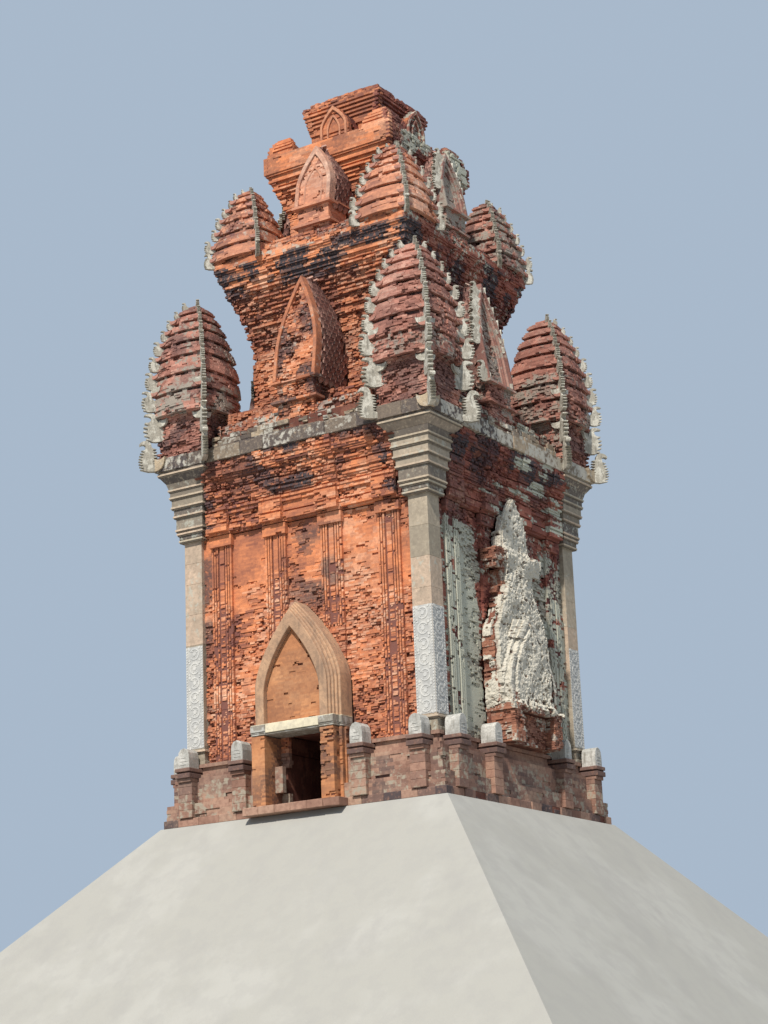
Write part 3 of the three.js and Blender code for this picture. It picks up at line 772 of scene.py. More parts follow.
def grit_group():
    """The height of a gritty, pitted surface."""
    inputs = [("Scale", "NodeSocketFloat", 40.0)]
    group, entry, finish = new_group("grit", inputs, [("Height", "NodeSocketFloat")])
    coords = add_node(group, "ShaderNodeTexCoord").outputs["Object"]
    inputs = {"Vector": coords, "Scale": entry["Scale"], "Detail": 5.0, "Roughness": 0.65}
    grains = add_node(group, "ShaderNodeTexNoise", inputs).outputs["Fac"]
    holes = add_node(group, "ShaderNodeTexVoronoi", {"Vector": coords, "Scale": entry["Scale"]})
    cut = map_range(group, holes.outputs["Distance"], 0.0, 0.35)
    group.links.new(times(group, grains, cut), finish["Height"])
    return group


def patch_mask(tree, patches, scale, low=0.45, high=0.6, stretch=(1, 1, 1)):
    made = add_node(tree, "ShaderNodeGroup", node_tree=patches)
    made.inputs["Scale"].default_value = scale
    made.inputs["Low"].default_value = low
    made.inputs["High"].default_value = high
    made.inputs["Stretch"].default_value = stretch
    return made.outputs["Mask"]


def weathering_group(patches):
    """Masonry colour from the weather attribute: tone between three clays, soot with painted shade, lichen,
    and worn bricks and hollows darkened, the hollows as painted shade.
    """
    group, entry, finish = new_group(
        "weathering",
        [
            ("Deep", "NodeSocketColor", None),
            ("Main", "NodeSocketColor", None),
            ("Pale", "NodeSocketColor", None),
            ("Lichen Color", "NodeSocketColor", None),
            ("Lichen", "NodeSocketFloat", 1.0),
        ],
        [("Color", "NodeSocketColor")],
    )
    weather = add_node(group, "ShaderNodeAttribute", attribute_name="weather")
    parts = add_node(group, "ShaderNodeSeparateColor", {"Color": weather.outputs["Color"]}).outputs
    clay = mix(group, map_range(group, parts["Red"], 0.5, 0.05), entry["Main"], entry["Deep"])
    clay = mix(group, map_range(group, parts["Red"], 0.5, 0.95), clay, entry["Pale"])
    for scale, low, high, share in ((1.7, 0.42, 0.66, 0.3), (10.0, 0.4, 0.7, 0.38)):
        blotches = times(group, patch_mask(group, patches, scale, low, high), share)
        clay = mix(group, blotches, clay, entry["Deep"])
    # This channel also darkens slots, hollows and the places under ledges as painted shade.
    soot_and_shade = times(group, parts["Green"], patch_mask(group, patches, 11.0, 0.22, 0.52))
    sooted_and_shaded = mix(group, soot_and_shade, clay, SOOT_AND_SHADE_COLOUR)
    spots = patch_mask(group, patches, 7.0, 0.3, 0.7)
    inputs = {0: times(group, parts["Blue"], entry["Lichen"]), 1: spots}
    summed = add_node(group, "ShaderNodeMath", inputs, operation="ADD")
    growth = map_range(group, summed.outputs[0], 0.98, 1.4)
    grown = mix(group, growth, sooted_and_shaded, entry["Lichen Color"])
    # Worn bricks darken, and pits, slots and other hollows darken as painted shade.
    worn_and_shaded = map_range(group, weather.outputs["Alpha"], 0.4, 1.0, to_max=0.6)
    group.links.new(mix(group, worn_and_shaded, grown, entry["Deep"]), finish["Color"])
    return group


class Finishes:
    """The materials, each with its own values in the shared groups."""

    def __init__(self):
        self.patches = patches_group()
        self.grit = grit_group()
        self.weathering = weathering_group(self.patches)

    def start(self, name):
        material = bpy.data.materials.new(name)
        material.use_nodes = True
        tree = material.node_tree
        shader = tree.nodes["Principled BSDF"]
        shader.inputs["Roughness"].default_value = 0.9
        shader.inputs["Specular IOR Level"].default_value = 0.25
        return material, tree, shader

    def relief(self, tree, shader, scale, distance):
        grit = add_node(tree, "ShaderNodeGroup", node_tree=self.grit)
        grit.inputs["Scale"].default_value = scale
        bump = add_node(tree, "ShaderNodeBump", {"Height": grit.outputs["Height"]})
        bump.inputs["Strength"].default_value = 0.8
        bump.inputs["Distance"].default_value = distance
        tree.links.new(bump.outputs["Normal"], shader.inputs["Normal"])

    def masonry(self, name, deep, main, pale, lichen_colour, distance, lichen=1.0):
        """Bricks or blocks coloured by their weather. The distance is the depth of the grit."""
        material, tree, shader = self.start(name)
        weathering = add_node(tree, "ShaderNodeGroup", node_tree=self.weathering)
        colours = {"Deep": deep, "Main": main, "Pale": pale, "Lichen Color": lichen_colour}
        for key, value in colours.items():
            weathering.inputs[key].default_value = (*value, 1.0)
        weathering.inputs["Lichen"].default_value = lichen
        tree.links.new(weathering.outputs["Color"], shader.inputs["Base Color"])
        self.relief(tree, shader, 22.0, distance)
        return material

    def stone(self, name, main, pale, dark, scale=3.0, distance=0.008, stain=0.6):
        """Plain stone: two tints in patches, and darker streaks that run down it."""
        material, tree, shader = self.start(name)
        tints = patch_mask(tree, self.patches, scale)
        streaks = patch_mask(tree, self.patches, scale * 1.4, 0.5, 0.72, (2.2, 2.2, 0.5))
        specks = patch_mask(tree, self.patches, scale * 7)
        base = mix(tree, tints, main, pale)
        streaked = mix(tree, times(tree, streaks, stain), base, dark)
        final = mix(tree, times(tree, specks, 0.3), streaked, dark)
        tree.links.new(final, shader.inputs["Base Color"])
        self.relief(tree, shader, 30.0, distance)
        return material


finishes = Finishes()
brick = finishes.masonry(
    "worn_brick", (0.19, 0.075, 0.06), (0.71, 0.255, 0.11), (0.84, 0.50, 0.33), (0.44, 0.41, 0.35), 0.008
)
upper_brick = finishes.masonry(
    "upper_brick", (0.22, 0.10, 0.085), (0.74, 0.33, 0.19), (0.88, 0.58, 0.43), (0.46, 0.42, 0.36), 0.010
)
# A darker copy of the worn brick for the sides away from the sun, painted shade, with more lichen.
painted_shade_brick = finishes.masonry(
    "painted_shade_brick", (0.12, 0.035, 0.03), (0.33, 0.115, 0.08), (0.44, 0.22, 0.15), (0.45, 0.45, 0.37), 0.010,
    lichen=1.3,
)
# The core's near-black colour is painted shade for the pits and gaps it shows through.
painted_shade_core = finishes.stone("brick_core_painted_shade", (0.14, 0.05, 0.035), (0.22, 0.09, 0.06), (0.05, 0.03, 0.025))
turret_brick = finishes.masonry(
    "turret_brick", (0.16, 0.065, 0.05), (0.52, 0.24, 0.18), (0.66, 0.40, 0.31), (0.32, 0.275, 0.23), 0.014
)
base_brick = finishes.masonry(
    "stained_brick", (0.12, 0.055, 0.04), (0.38, 0.22, 0.16), (0.48, 0.34, 0.24), (0.34, 0.29, 0.225), 0.006
)
laid_brick = finishes.masonry(
    "porch_brick", (0.26, 0.11, 0.06), (0.52, 0.225, 0.10), (0.62, 0.33, 0.17), (0.50, 0.42, 0.32), 0.005
)
lichened = finishes.masonry(
    "lichened_brick", (0.18, 0.075, 0.05), (0.38, 0.16, 0.10), (0.5, 0.27, 0.18), (0.54, 0.50, 0.42), 0.02,
    lichen=1.35,
)
slab_stone = finishes.masonry(
    "slab_stone", (0.12, 0.095, 0.075), (0.40, 0.31, 0.22), (0.58, 0.46, 0.31), (0.46, 0.43, 0.37), 0.02
)
corner_stone = finishes.masonry(
    "corner_stone", (0.24, 0.20, 0.15), (0.51, 0.43, 0.32), (0.66, 0.49, 0.36), (0.44, 0.44, 0.375), 0.006
)
lintel_blocks = finishes.masonry(
    "lintel_blocks", (0.33, 0.30, 0.25), (0.52, 0.46, 0.35), (0.74, 0.66, 0.48), (0.45, 0.44, 0.40), 0.004
)
arch_brick = finishes.stone(
    "arch_brick", (0.40, 0.25, 0.16), (0.50, 0.31, 0.19), (0.17, 0.12, 0.09), scale=1.6
)
# The sunk ground of the carving is darker than the carving on it, as painted shade.
painted_shade_carved_ground = finishes.stone(
    "painted_shade_carved_ground", (0.42, 0.415, 0.40), (0.50, 0.49, 0.46), (0.36, 0.355, 0.34), scale=4.0, distance=0.004
)
carved_stone = finishes.stone(
    "carved_stone", (0.52, 0.515, 0.495), (0.60, 0.585, 0.55), (0.42, 0.41, 0.39), scale=4.0, distance=0.004
)
crest_stone = finishes.stone(
    "crest_stone", (0.38, 0.35, 0.29), (0.60, 0.57, 0.49), (0.10, 0.095, 0.085), scale=6.0
)
white_stone = finishes.stone(
    "white_stone", (0.40, 0.39, 0.36), (0.55, 0.53, 0.49), (0.18, 0.16, 0.13), stain=0.7
)
ground_material = finishes.stone(
    "pale_ground", (0.34, 0.33, 0.30), (0.37, 0.36, 0.33), (0.31, 0.30, 0.28), scale=0.3
)


# Walls

WALLS = {
    "front": ("front_wall_left", "front_wall_right", "front_wall_over_door"),
    "right": ("right_wall",),
    "back": ("back_wall",),
    "left": ("left_wall",),
}
PORCH = ("porch_pier_left", "porch_pier_right", "porch_lintel", "porch_arch", "porch_tympanum")
WALL_REACH = 3.12


# The right and back sides take the darker brick, painted shade.
def side_brick(side):
    return painted_shade_brick if side in ("right", "back") else brick


def add_walls():
    for side, names in WALLS.items():
        surface = Surface(*names)
        covers = Surface(*(PORCH if side == "front" else (f"false_door_{side}",)))
        bricks = Masonry()
        lay_courses(
            bricks, surface, wall_area, SIDES[side], reach=WALL_REACH, covers=covers, ribs=pilaster_face
        )
        bricks.build(f"{side}_wall_bricks", side_brick(side), "brick")
        for name in names:
            add_core(name, "brick")


# The base's courses: how far out the furthest lie, the upright face between two heights, and the middles
# of the sunk lines.
BASE_FURTHEST = 4.06
BASE_FACE = 3.91
BASE_FACE_FOOT = 0.6
BASE_FACE_TOP = 1.15
BASE_LINES = (1.16, 1.34)


def base_cut(stretch, z):
    """The base's plain middle part as one upright face."""
    x0, x1, face = stretch
    if BASE_FACE_FOOT < z < BASE_FACE_TOP:
        return [(max(x0, -BASE_FACE), min(x1, BASE_FACE), BASE_FACE)]
    if any(abs(z - line) < 0.046 for line in BASE_LINES):
        return [(x0, x1, face - 0.06)]
    return [stretch]


def add_base():
    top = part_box("front_wall_left")[0][2]
    for side, quarter in SIDES.items():
        names = ("base_front_left", "base_front_right") if side == "front" else (f"base_{side}",)
        bricks = Masonry(chip=0.001)
        lay_courses(
            bricks, Surface(*names), base_area, quarter, z1=top, reach=4.04, furthest=BASE_FURTHEST,
            pitch=0.09, length=0.4, recut=base_cut,
        )
        bricks.build(f"{side}_base_bricks", base_brick, "dark_brick")
        for name in names:
            add_core(name, "dark_brick")
    add_base_stones()


# The room's slabs, counted from its middle. Two columns of them run on through the doorway.
FLOOR_SLAB = 0.5
FLOOR_GAP = 0.003
ROOM_SLABS = 4
DOORWAY_SLABS = 8

# The row of blocks before the porch.
PORCH_STEP_HALF = 1.4
PORCH_STEP_BLOCKS = 6
PORCH_STEP_BACK = -3.9


def add_floor():
    """Porous blocks round the platform's edge and before the porch, and slabs in the room and doorway."""
    low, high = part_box("floor")
    edge = high[0]
    top = high[2]
    blocks = Masonry(chip=0.008, bevel=0.012)
    for quarter in range(4):
        stretch = (-edge, edge, edge)
        lay_stretch(blocks, stretch, quarter, ORIGIN, low[2], top, quarter, floor_area, 0.55, 0.3)
    width = 2 * PORCH_STEP_HALF / PORCH_STEP_BLOCKS
    for i in range(PORCH_STEP_BLOCKS):
        x = -PORCH_STEP_HALF + i * width
        weather = weather_at(floor_area, 0, ORIGIN, x, -low[1], top)
        x0, x1 = x + 0.002, x + width - 0.002
        blocks.add(0, ORIGIN, x0, x1, low[1], PORCH_STEP_BACK, low[2], top, weather)
    for i in range(-ROOM_SLABS, ROOM_SLABS):
        for k in range(-DOORWAY_SLABS, ROOM_SLABS):
            if k < -ROOM_SLABS and i not in (-1, 0):
                continue
            weather = weather_at(floor_area, 0, ORIGIN, i * FLOOR_SLAB, -k * FLOOR_SLAB, top)
            x0, x1 = i * FLOOR_SLAB + FLOOR_GAP, (i + 1) * FLOOR_SLAB - FLOOR_GAP
            y0, y1 = k * FLOOR_SLAB + FLOOR_GAP, (k + 1) * FLOOR_SLAB - FLOOR_GAP
            blocks.add(0, ORIGIN, x0, x1, y0, y1, top - 0.05, top, weather)
    blocks.build("floor_blocks", base_brick, "dark_brick")
    add_core("floor", "dark_brick", 0.05)


# The gabled stones of the base: where they stand, the blocks under each as (half width, front, low, high,
# weather), and the brick pier below them, whose top course stands out.
STONE_SPOTS = (-3.38, -1.74, 1.74, 3.38)
STONE_BLOCKS = (
    (0.23, 4.26, 1.18, 1.30, (0.3, 0.6, 0.1, 0.2)),
    # The thin middle block is set back and painted dark, as shade between the blocks.
    (0.21, 4.24, 1.31, 1.335, (0.1, 1.0, 0.0, 0.9)),
    (0.23, 4.26, 1.34, 1.43, (0.4, 0.5, 0.1, 0.2)),
)
STONE_BLOCK_BACK = -3.65
PIER_LEVELS = (0.21, 0.40, 0.59, 0.78, 0.97, 1.09, 1.18)
PIER_HALF = 0.21
PIER_FRONT = 4.15
PIER_BACK = -3.8


def gabled_stone(bm, x):
    """A small rounded gable of stone, with three carved bars on its face."""
    half, front, back = 0.175, 4.2, 3.8
    foot, shoulder, top = 1.43, 1.69, 1.93
    curve = [(half * math.cos(a), shoulder + (top - shoulder) * math.sin(a) ** 0.8) for a in (0.5, 1.0)]
    right = [(half, shoulder), *curve]
    outline = [(-half, foot), (half, foot), *right, (0, top), *((-dx, z) for dx, z in reversed(right))]
    extrude(bm, [face_from(bm, [(x + dx, z) for dx, z in outline], -front)], (0, front - back, 0))
    for i, width in enumerate((0.09, 0.11, 0.07)):
        bar = bmesh.ops.create_cube(bm, size=1)
        bmesh.ops.scale(bm, verts=bar["verts"], vec=(width * 2, 0.02, 0.022))
        bmesh.ops.translate(bm, verts=bar["verts"], vec=(x, -front, 1.52 + 0.085 * i))


def add_base_stones():
    blocks = Masonry(chip=0.004, bevel=0.01)
    bm = bmesh.new()
    for quarter in range(4):
        made_before = set(bm.verts)
        for x in STONE_SPOTS:
            gabled_stone(bm, x)
            for half, front, low, high, weather in STONE_BLOCKS:
                blocks.add(quarter, ORIGIN, x - half, x + half, -front, STONE_BLOCK_BACK, low, high, weather)
            for low, high in zip(PIER_LEVELS, PIER_LEVELS[1:]):
                front = PIER_FRONT if high < PIER_LEVELS[-1] else PIER_FRONT + 0.05
                weather = weather_at(base_area, quarter, ORIGIN, x, front, low)
                x0, x1 = x - PIER_HALF, x + PIER_HALF
                blocks.add(quarter, ORIGIN, x0, x1, -front, PIER_BACK, low, high, weather)
        turn_side(bm, [v for v in bm.verts if v not in made_before], quarter)
    bmesh.ops.recalc_face_normals(bm, faces=bm.faces)
    stones = from_bmesh("gabled_base_stones", bm, white_stone, "stone")
    bevel = stones.modifiers.new("worn_edges", "BEVEL")
    bevel.width = 0.018
    bevel.segments = 2
    blocks.build("base_stone_blocks", base_brick, "dark_brick")


# Porch: stepped rings of smooth brick over piers and a pale lintel

PORCH_OPENING = (0.815, 2.90, 4.49)
PORCH_RINGS = (
    ((1.045, 2.98, 4.91), 4.325),
    ((1.10, 3.01, 4.98), 4.27),
    ((1.15, 3.04, 5.03), 4.20),
    ((1.205, 3.07, 5.09), 4.13),
    ((1.26, 3.10, 5.15), 4.06),
)
WALL_FACE = 3.56


def pointed_line(half, spring, apex, foot, steps):
    """A pointed outline from its right foot over the apex to its left foot, as (x, z)."""
    right = [(half, foot)]
    for i in range(steps + 1):
        t = i / steps
        right.append((half * (1 - t**1.7), spring + (apex - spring) * t))
    return right + [(-x, z) for x, z in reversed(right[:-1])]


def half_width(outline, z):
    """Half width of a pointed outline (half, spring, apex) at a height."""
    half, spring, apex = outline
    if z <= spring:
        return half
    return half * (1 - min((z - spring) / (apex - spring), 1.0) ** 1.7)


def arch_band(bm, outer, inner, foot, front, back, rounding, steps=16):
    """A ring between two pointed outlines, from its front face back to the wall."""
    edges = []
    for outline in (outer, inner):
        verts = [bm.verts.new((x, -front, z)) for x, z in pointed_line(*outline, foot, steps)]
        edges += [bm.edges.new(pair) for pair in zip(verts, verts[1:])]
    extrude(bm, bmesh.ops.bridge_loops(bm, edges=edges)["faces"], (0, front - back, 0))
    bevel_edges(bm, edges, rounding, 2)


def porch_area(quarter, x, z):
    return 0.02, 0.25 + 0.4 * smoothstep(2.0, 1.8, z), 0.0


def add_porch():
    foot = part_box("porch_lintel")[1][2]
    bm = bmesh.new()
    inner = PORCH_OPENING
    for outline, front in PORCH_RINGS:
        arch_band(bm, outline, inner, foot, front, WALL_FACE + 0.02, 0.022)
        inner = tuple(value - 0.02 for value in outline)
    bmesh.ops.recalc_face_normals(bm, faces=bm.faces)
    arch = from_bmesh("porch_arch_rings", bm, arch_brick, "laid_brick")
    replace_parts(arch, "porch_arch")
    for name in ("porch_tympanum", "porch_pier_left", "porch_pier_right"):
        bricks = Masonry()
        lay_courses(bricks, Surface(name), porch_area, 0, reach=1.3, back=WALL_FACE)
        bricks.build(f"{name}_bricks", laid_brick, "laid_brick")
        add_core(name, "laid_brick", 0.05)
    add_lintel()


# The lintel's blocks: half the opening and the face over it, how far the front and the back part beside it
# reach with their faces, and where all end in the wall.
LINTEL_OPENING = 0.78
LINTEL_FACE = 4.33
LINTEL_PARTS = ((1.21, 4.355), (1.28, 4.085))
LINTEL_BACK = -3.6


def add_lintel():
    low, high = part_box("porch_lintel")
    blocks = Masonry(chip=0.004, bevel=0.008)
    opening, back = LINTEL_OPENING, LINTEL_BACK
    grey = (0.15, 0.35, 0.5, 0.2)
    pale = (0.9, 0.0, 0.1, 0.0)
    lip = low[2] + 0.045
    blocks.add(0, ORIGIN, -opening, opening, -LINTEL_FACE, back, lip, high[2], pale)
    blocks.add(0, ORIGIN, -opening, opening, -LINTEL_FACE + 0.03, back, low[2], lip - 0.004, grey)
    layers = (
        (0.0, lip + 0.035, high[2] - 0.02, grey),
        (0.02, lip, lip + 0.033, grey),
        (0.03, low[2], lip - 0.004, grey),
        (0.025, high[2] - 0.018, high[2], pale),
    )
    for side in (-1, 1):
        for reach, front in LINTEL_PARTS:
            near, far = sorted((side * opening, side * reach))
            for sunk, foot, top, weather in layers:
                blocks.add(0, ORIGIN, near, far, -front + sunk, back, foot, top, weather)
    pieces = blocks.build("porch_lintel_blocks", lintel_blocks, "stone")
    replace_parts(pieces[0], "porch_lintel")


# False doors: the same courses as the walls, deeply worn, under a knobbly crust of lichen

CRUST_CELL = 0.029
CRUST_LOW = 1.58
CRUST_HIGH = 7.98
CRUST_HALF = 1.31
# Each place of the crust follows the mean depth of these places round it, which smooths what it covers.
CRUST_SAMPLES = (
    (0, 0), (0.07, 0.07), (-0.07, -0.07), (0.14, -0.04), (-0.14, 0.04), (0.22, 0.1), (-0.22, -0.1)
)


def face_cover(quarter, x, z):
    """Above 0 where the crust has stayed on a false door's face."""
    cover = 1.05 + 0.7 * rough(Vector((x, 3.0 * quarter, z * 0.8)), 1.5, 3) - 0.9 * smoothstep(3.7, 2.5, z)
    cover -= 2.2 * smoothstep(2.45, 2.2, z)
    cover += 0.9 * noise.noise(Vector((x * 6, 3.0 * quarter, z * 7))) * smoothstep(4.2, 2.5, z)
    moulded_neck = smoothstep(-0.45, -0.7, x) * smoothstep(5.4, 5.6, z) * smoothstep(6.7, 6.5, z)
    return cover - 1.6 * moulded_neck


def flank_cover(quarter, x, z):
    """Above 0 where the crust has stayed on a false door's flanks: bare at the neck and at the hip."""
    cover = 0.75 + 0.8 * rough(Vector((x, 3.0 * quarter, z * 0.8)), 1.5, 3)
    neck = smoothstep(5.2, 5.35, z) * smoothstep(6.55, 6.4, z)
    hip = smoothstep(3.7, 3.8, z) * smoothstep(4.2, 4.1, z)
    return cover - 2.0 * max(neck, hip) - 2.2 * smoothstep(2.5, 2.2, z) - 0.35 * smoothstep(3.8, 3.4, z)


def crust_lump(quarter, x, z):
    """Height of the crust over the brick, and how deep in a hole a place is."""
    place = Vector((x, 5.0 * quarter, z))
    cell = noise.voronoi(place * 8.0)[0][0]
    small = noise.voronoi(place * 23.0)[0][0]
    hole = noise.voronoi(Vector((x * 5.4, 5.0 * quarter + 9, z * 7.0)))[0][0]
    nick = noise.voronoi(Vector((x * 8.0, 5.0 * quarter + 4, z * 13.0)))[0][0]
    broad = noise.noise(place * 2.2)
    sunk = smoothstep(0.30, 0.16, hole) * smoothstep(-0.5, -0.1, noise.noise(place * 1.7))
    sunk = max(sunk, 0.8 * smoothstep(0.30, 0.18, nick) * smoothstep(-0.2, 0.1, noise.noise(place * 2.9)))
    fine = noise.noise(place * 15.0)
    height = 0.03 + 0.03 * (0.42 - cell) + 0.02 * (0.4 - small) + 0.05 * broad + 0.018 * fine - 0.12 * sunk
    return height, sunk


def add_crust(name, surface, quarter, low, high, covered):
    """A knobbly sheet over what shows of a surface from one side, between two places along that side."""
    bm = bmesh.new()
    columns = round((high - low) / CRUST_CELL)
    rows = round((CRUST_HIGH - CRUST_LOW) / CRUST_CELL)
    bmesh.ops.create_grid(bm, x_segments=columns, y_segments=rows, size=1)
    lost = []
    holes = {}
    for vert in bm.verts:
        x = low + (vert.co.x + 1) / 2 * (high - low)
        z = CRUST_LOW + (vert.co.y + 1) / 2 * (CRUST_HIGH - CRUST_LOW)
        depths = [surface.depth(quarter, ORIGIN, x + dx, z + dz) for dx, dz in CRUST_SAMPLES]
        if depths[0] is None or covered(quarter, x, z) < 0:
            lost.append(vert)
            continue
        depth = sum(d if d else depths[0] for d in depths) / len(depths)
        lump, sunk = crust_lump(quarter, x, z)
        holes[vert] = sunk
        vert.co = (x + rng.uniform(-0.008, 0.008), -depth - lump, z + rng.uniform(-0.008, 0.008))
    bmesh.ops.delete(bm, geom=lost, context="VERTS")
    rim = [edge for edge in bm.edges if edge.is_boundary]
    made = bmesh.ops.extrude_edge_only(bm, edges=rim)
    moved = [v for v in made["geom"] if isinstance(v, bmesh.types.BMVert)]
    bmesh.ops.translate(bm, verts=moved, vec=(0, 0.12, 0))
    bm.verts.index_update()
    sunk_at = [holes.get(v, 0.4) for v in bm.verts]
    turn_side(bm, bm.verts, quarter)
    crust = from_bmesh(name, bm, lichened, "lichen_brick")
    # Holes and the hidden rim are painted darker with soot and wear, as painted shade.
    paint_rows(crust.data, [(0.6, 0.3 + 0.7 * s, 1.0 - 0.8 * s, 0.25 + 0.75 * s) for s in sunk_at])


def add_false_doors():
    for side in ("right", "back", "left"):
        node = f"false_door_{side}"
        surface = Surface(node)
        quarter = SIDES[side]
        bricks = Masonry(chip=0.006)
        lay_courses(
            bricks, surface, false_door_area, quarter, reach=1.3, back=WALL_FACE + 0.02,
            hidden=face_cover, hidden_flank=flank_cover,
        )
        bricks.build(f"{node}_bricks", lichened, "lichen_brick")
        add_core(node, "lichen_brick", 0.07)
        near = WALL_FACE + 0.06
        far = surface.depth(quarter, ORIGIN, 0.0, 2.4) - 0.03
        add_crust(f"{node}_crust", surface, quarter, -CRUST_HALF, CRUST_HALF, face_cover)
        add_crust(f"{node}_left_crust", surface, quarter - 1, near, far, flank_cover)
        add_crust(f"{node}_right_crust", surface, quarter + 1, -far, -near, flank_cover)


# Niches: a pointed gable that leans back, rings round a blind field, and a vault of scales behind it

# How dark each corner of a scale's outline is, as painted shade: its top lies under the scale above, and its
# tip is painted lighter.
SCALE_PAINTED_SHADE = (0.9, 0.15, 0.0, 0.15, 0.9) * 2
SCALE_SIZE = 0.22

# Steps up one side of a niche's outline.
LINE_STEPS = 24


def scale_template():
    """A pointed roof scale: its top edge lies on the vault and its point stands off it."""
    bm = bmesh.new()
    outline = [(-0.5, 0.05), (-0.5, -0.62), (0.0, -1.0), (0.5, -0.62), (0.5, 0.05)]
    extrude(bm, [face_from(bm, outline)], (0, -1, 0))
    bmesh.ops.recalc_face_normals(bm, faces=bm.faces)
    return template(bm)


class Niche:
    """One niche in the frame of its side: its outline, how far it leans, and its depths."""

    def __init__(self, node, quarter, half, front, back, sill, spring, apex, lean):
        self.node = node
        self.quarter = quarter
        self.half = half
        self.front = front
        self.back = back
        self.sill = sill
        self.spring = spring
        self.apex = apex
        self.lean = lean

    def face(self, z):
        """Distance of the leaning gable from the tower's axis."""
        return self.front - self.lean * (z - self.sill) / (self.apex - self.sill)

    def outline(self, inward=0.0):
        return (self.half - inward, self.spring, self.apex - inward * 2.2)

    def shear(self, verts):
        for vert in verts:
            vert.co.y += self.lean * (vert.co.z - self.sill) / (self.apex - self.sill)

    def placed(self, label, bm, material):
        bmesh.ops.recalc_face_normals(bm, faces=bm.faces)
        turn_side(bm, bm.verts, self.quarter)
        return from_bmesh(f"{self.node}_{label}", bm, material, "brick")

    def add_rings(self, rings, lichen, material):
        """Stepped rings given as (inset, width, sink, tone), each leaning back with the gable."""
        bm = bmesh.new()
        tones = []
        for inset, width, sink, tone in rings:
            made_before = len(bm.verts)
            outer, inner = self.outline(inset), self.outline(inset + width)
            arch_band(bm, outer, inner, self.sill, self.front - sink, self.front - 0.26, 0.018, steps=14)
            tones += [tone] * (len(bm.verts) - made_before)
        self.shear(bm.verts)
        piece = self.placed("rings", bm, material)
        values = []
        for vert, tone in zip(piece.data.vertices, tones):
            grey = lichen * smoothstep(-0.3, 0.3, rough(vert.co, 2.2))
            values.append((tone + 0.25 * rough(vert.co + Vector((4, 0, 0)), 3.0), 0.4, grey, 0.15))
        paint_rows(piece.data, values)

    def add_field(self, inset, sink, area, material):
        """The blind field inside the rings, in courses."""
        inner = self.outline(inset)
        bricks = Masonry(chip=0.005)
        z = self.sill
        course = 0
        while z < inner[2] - 0.12:
            reach = half_width(inner, z + COURSE) + 0.03
            stretch = (-reach, reach, self.face(z) - sink)
            lay_stretch(bricks, stretch, self.quarter, ORIGIN, z, z + COURSE, course, area, depth_in=0.14)
            z += COURSE
            course += 1
        bricks.build(f"{self.node}_field", material, "brick")

    def add_vault(self):
        """The vault's body, near black as painted shade, in the outline of the gable and a little inside it.
        """
        bm = bmesh.new()
        line = pointed_line(*self.outline(0.05), self.sill - 0.02, 12)
        moved = extrude(bm, [face_from(bm, line, -self.front + 0.24)])
        self.shear([v for v in bm.verts if v not in moved])
        for vert in moved:
            vert.co.y = -self.back
        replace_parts(self.placed("vault", bm, painted_shade_core), self.node)

    def add_scales(self, area):
        """Rows of scales over both flanks of the vault, from the foot up to the ridge."""
        pattern = scale_template()
        across, inward, up = (pattern[0] * np.array([SCALE_SIZE * 0.8, 0.05, SCALE_SIZE])).T
        line = pointed_line(*self.outline(), self.sill, LINE_STEPS)[: LINE_STEPS + 3]
        lengths = [0.0]
        for (xa, za), (xb, zb) in zip(line, line[1:]):
            lengths.append(lengths[-1] + math.hypot(xb - xa, zb - za))
        rows = int(lengths[-1] / (SCALE_SIZE * 0.72))
        points = []
        weathers = []
        for row in range(rows + 1):
            along = lengths[-1] * row / rows
            k = max(i for i, length in enumerate(lengths) if length <= along + 1e-6)
            k = min(k, len(line) - 2)
            (xa, za), (xb, zb) = line[k], line[k + 1]
            share = (along - lengths[k]) / max(lengths[k + 1] - lengths[k], 1e-6)
            x = xa + (xb - xa) * share
            z = za + (zb - za) * share
            slope = math.atan2(xb - xa, zb - za)
            start = -self.face(z) + 0.22
            columns = max(1, int((-self.back - start) / SCALE_SIZE))
            for column in range(columns):
                y = start + SCALE_SIZE * (column + 0.5 + 0.5 * (row % 2))
                for side in (-1, 1):
                    tilt = slope + 0.34 + rng.uniform(-0.06, 0.06)
                    out = up * math.sin(tilt) - inward * math.cos(tilt)
                    rise = up * math.cos(tilt) + inward * math.sin(tilt)
                    points.append(np.stack([side * (x + out), y + across, z + rise], axis=1))
                    weather = weather_at(area, self.quarter, ORIGIN, side * x, -y, z)
                    for shade in SCALE_PAINTED_SHADE:
                        # Painted shade at each scale's top and painted light towards its tip.
                        tone = weather[0] + 0.4 * (1 - shade)
                        weathers.append((tone, max(weather[1], shade), weather[2] * (1 - shade), shade))
        mesh = arrays_mesh(f"{self.node}_scales", np.array(points), pattern)
        paint_rows(mesh, weathers)
        mesh.transform(turn(self.quarter))
        bm = bmesh.new()
        bm.from_mesh(mesh)
        bmesh.ops.recalc_face_normals(bm, faces=bm.faces)
        bm.to_mesh(mesh)
        bm.free()
        link(mesh.name, mesh, turret_brick, "brick")

    def add_flames(self, count):
        """White flames close together along both edges of the gable."""
        line = pointed_line(*self.outline(-0.03), self.sill, LINE_STEPS)[: LINE_STEPS + 2]
        flames = []
        turned = self.quarter * math.pi / 2
        for i in range(count):
            x, z = line[int((len(line) - 3) * (i + 0.3) / count)]
            height = (self.apex - self.sill) / count * (1.35 - 0.3 * i / count)
            for side in (-1, 1):
                place = turn(self.quarter) @ Vector((side * (x - 0.03), -self.face(z) + 0.10, z - 0.08))
                heading = turned if side > 0 else turned + math.pi
                flames.append((tuple(place), heading + side * 0.5, height * 0.9, height, 0.08))
        link_plates(f"{self.node}_flames", [flame_outline()], flames, crest_stone, "stone")

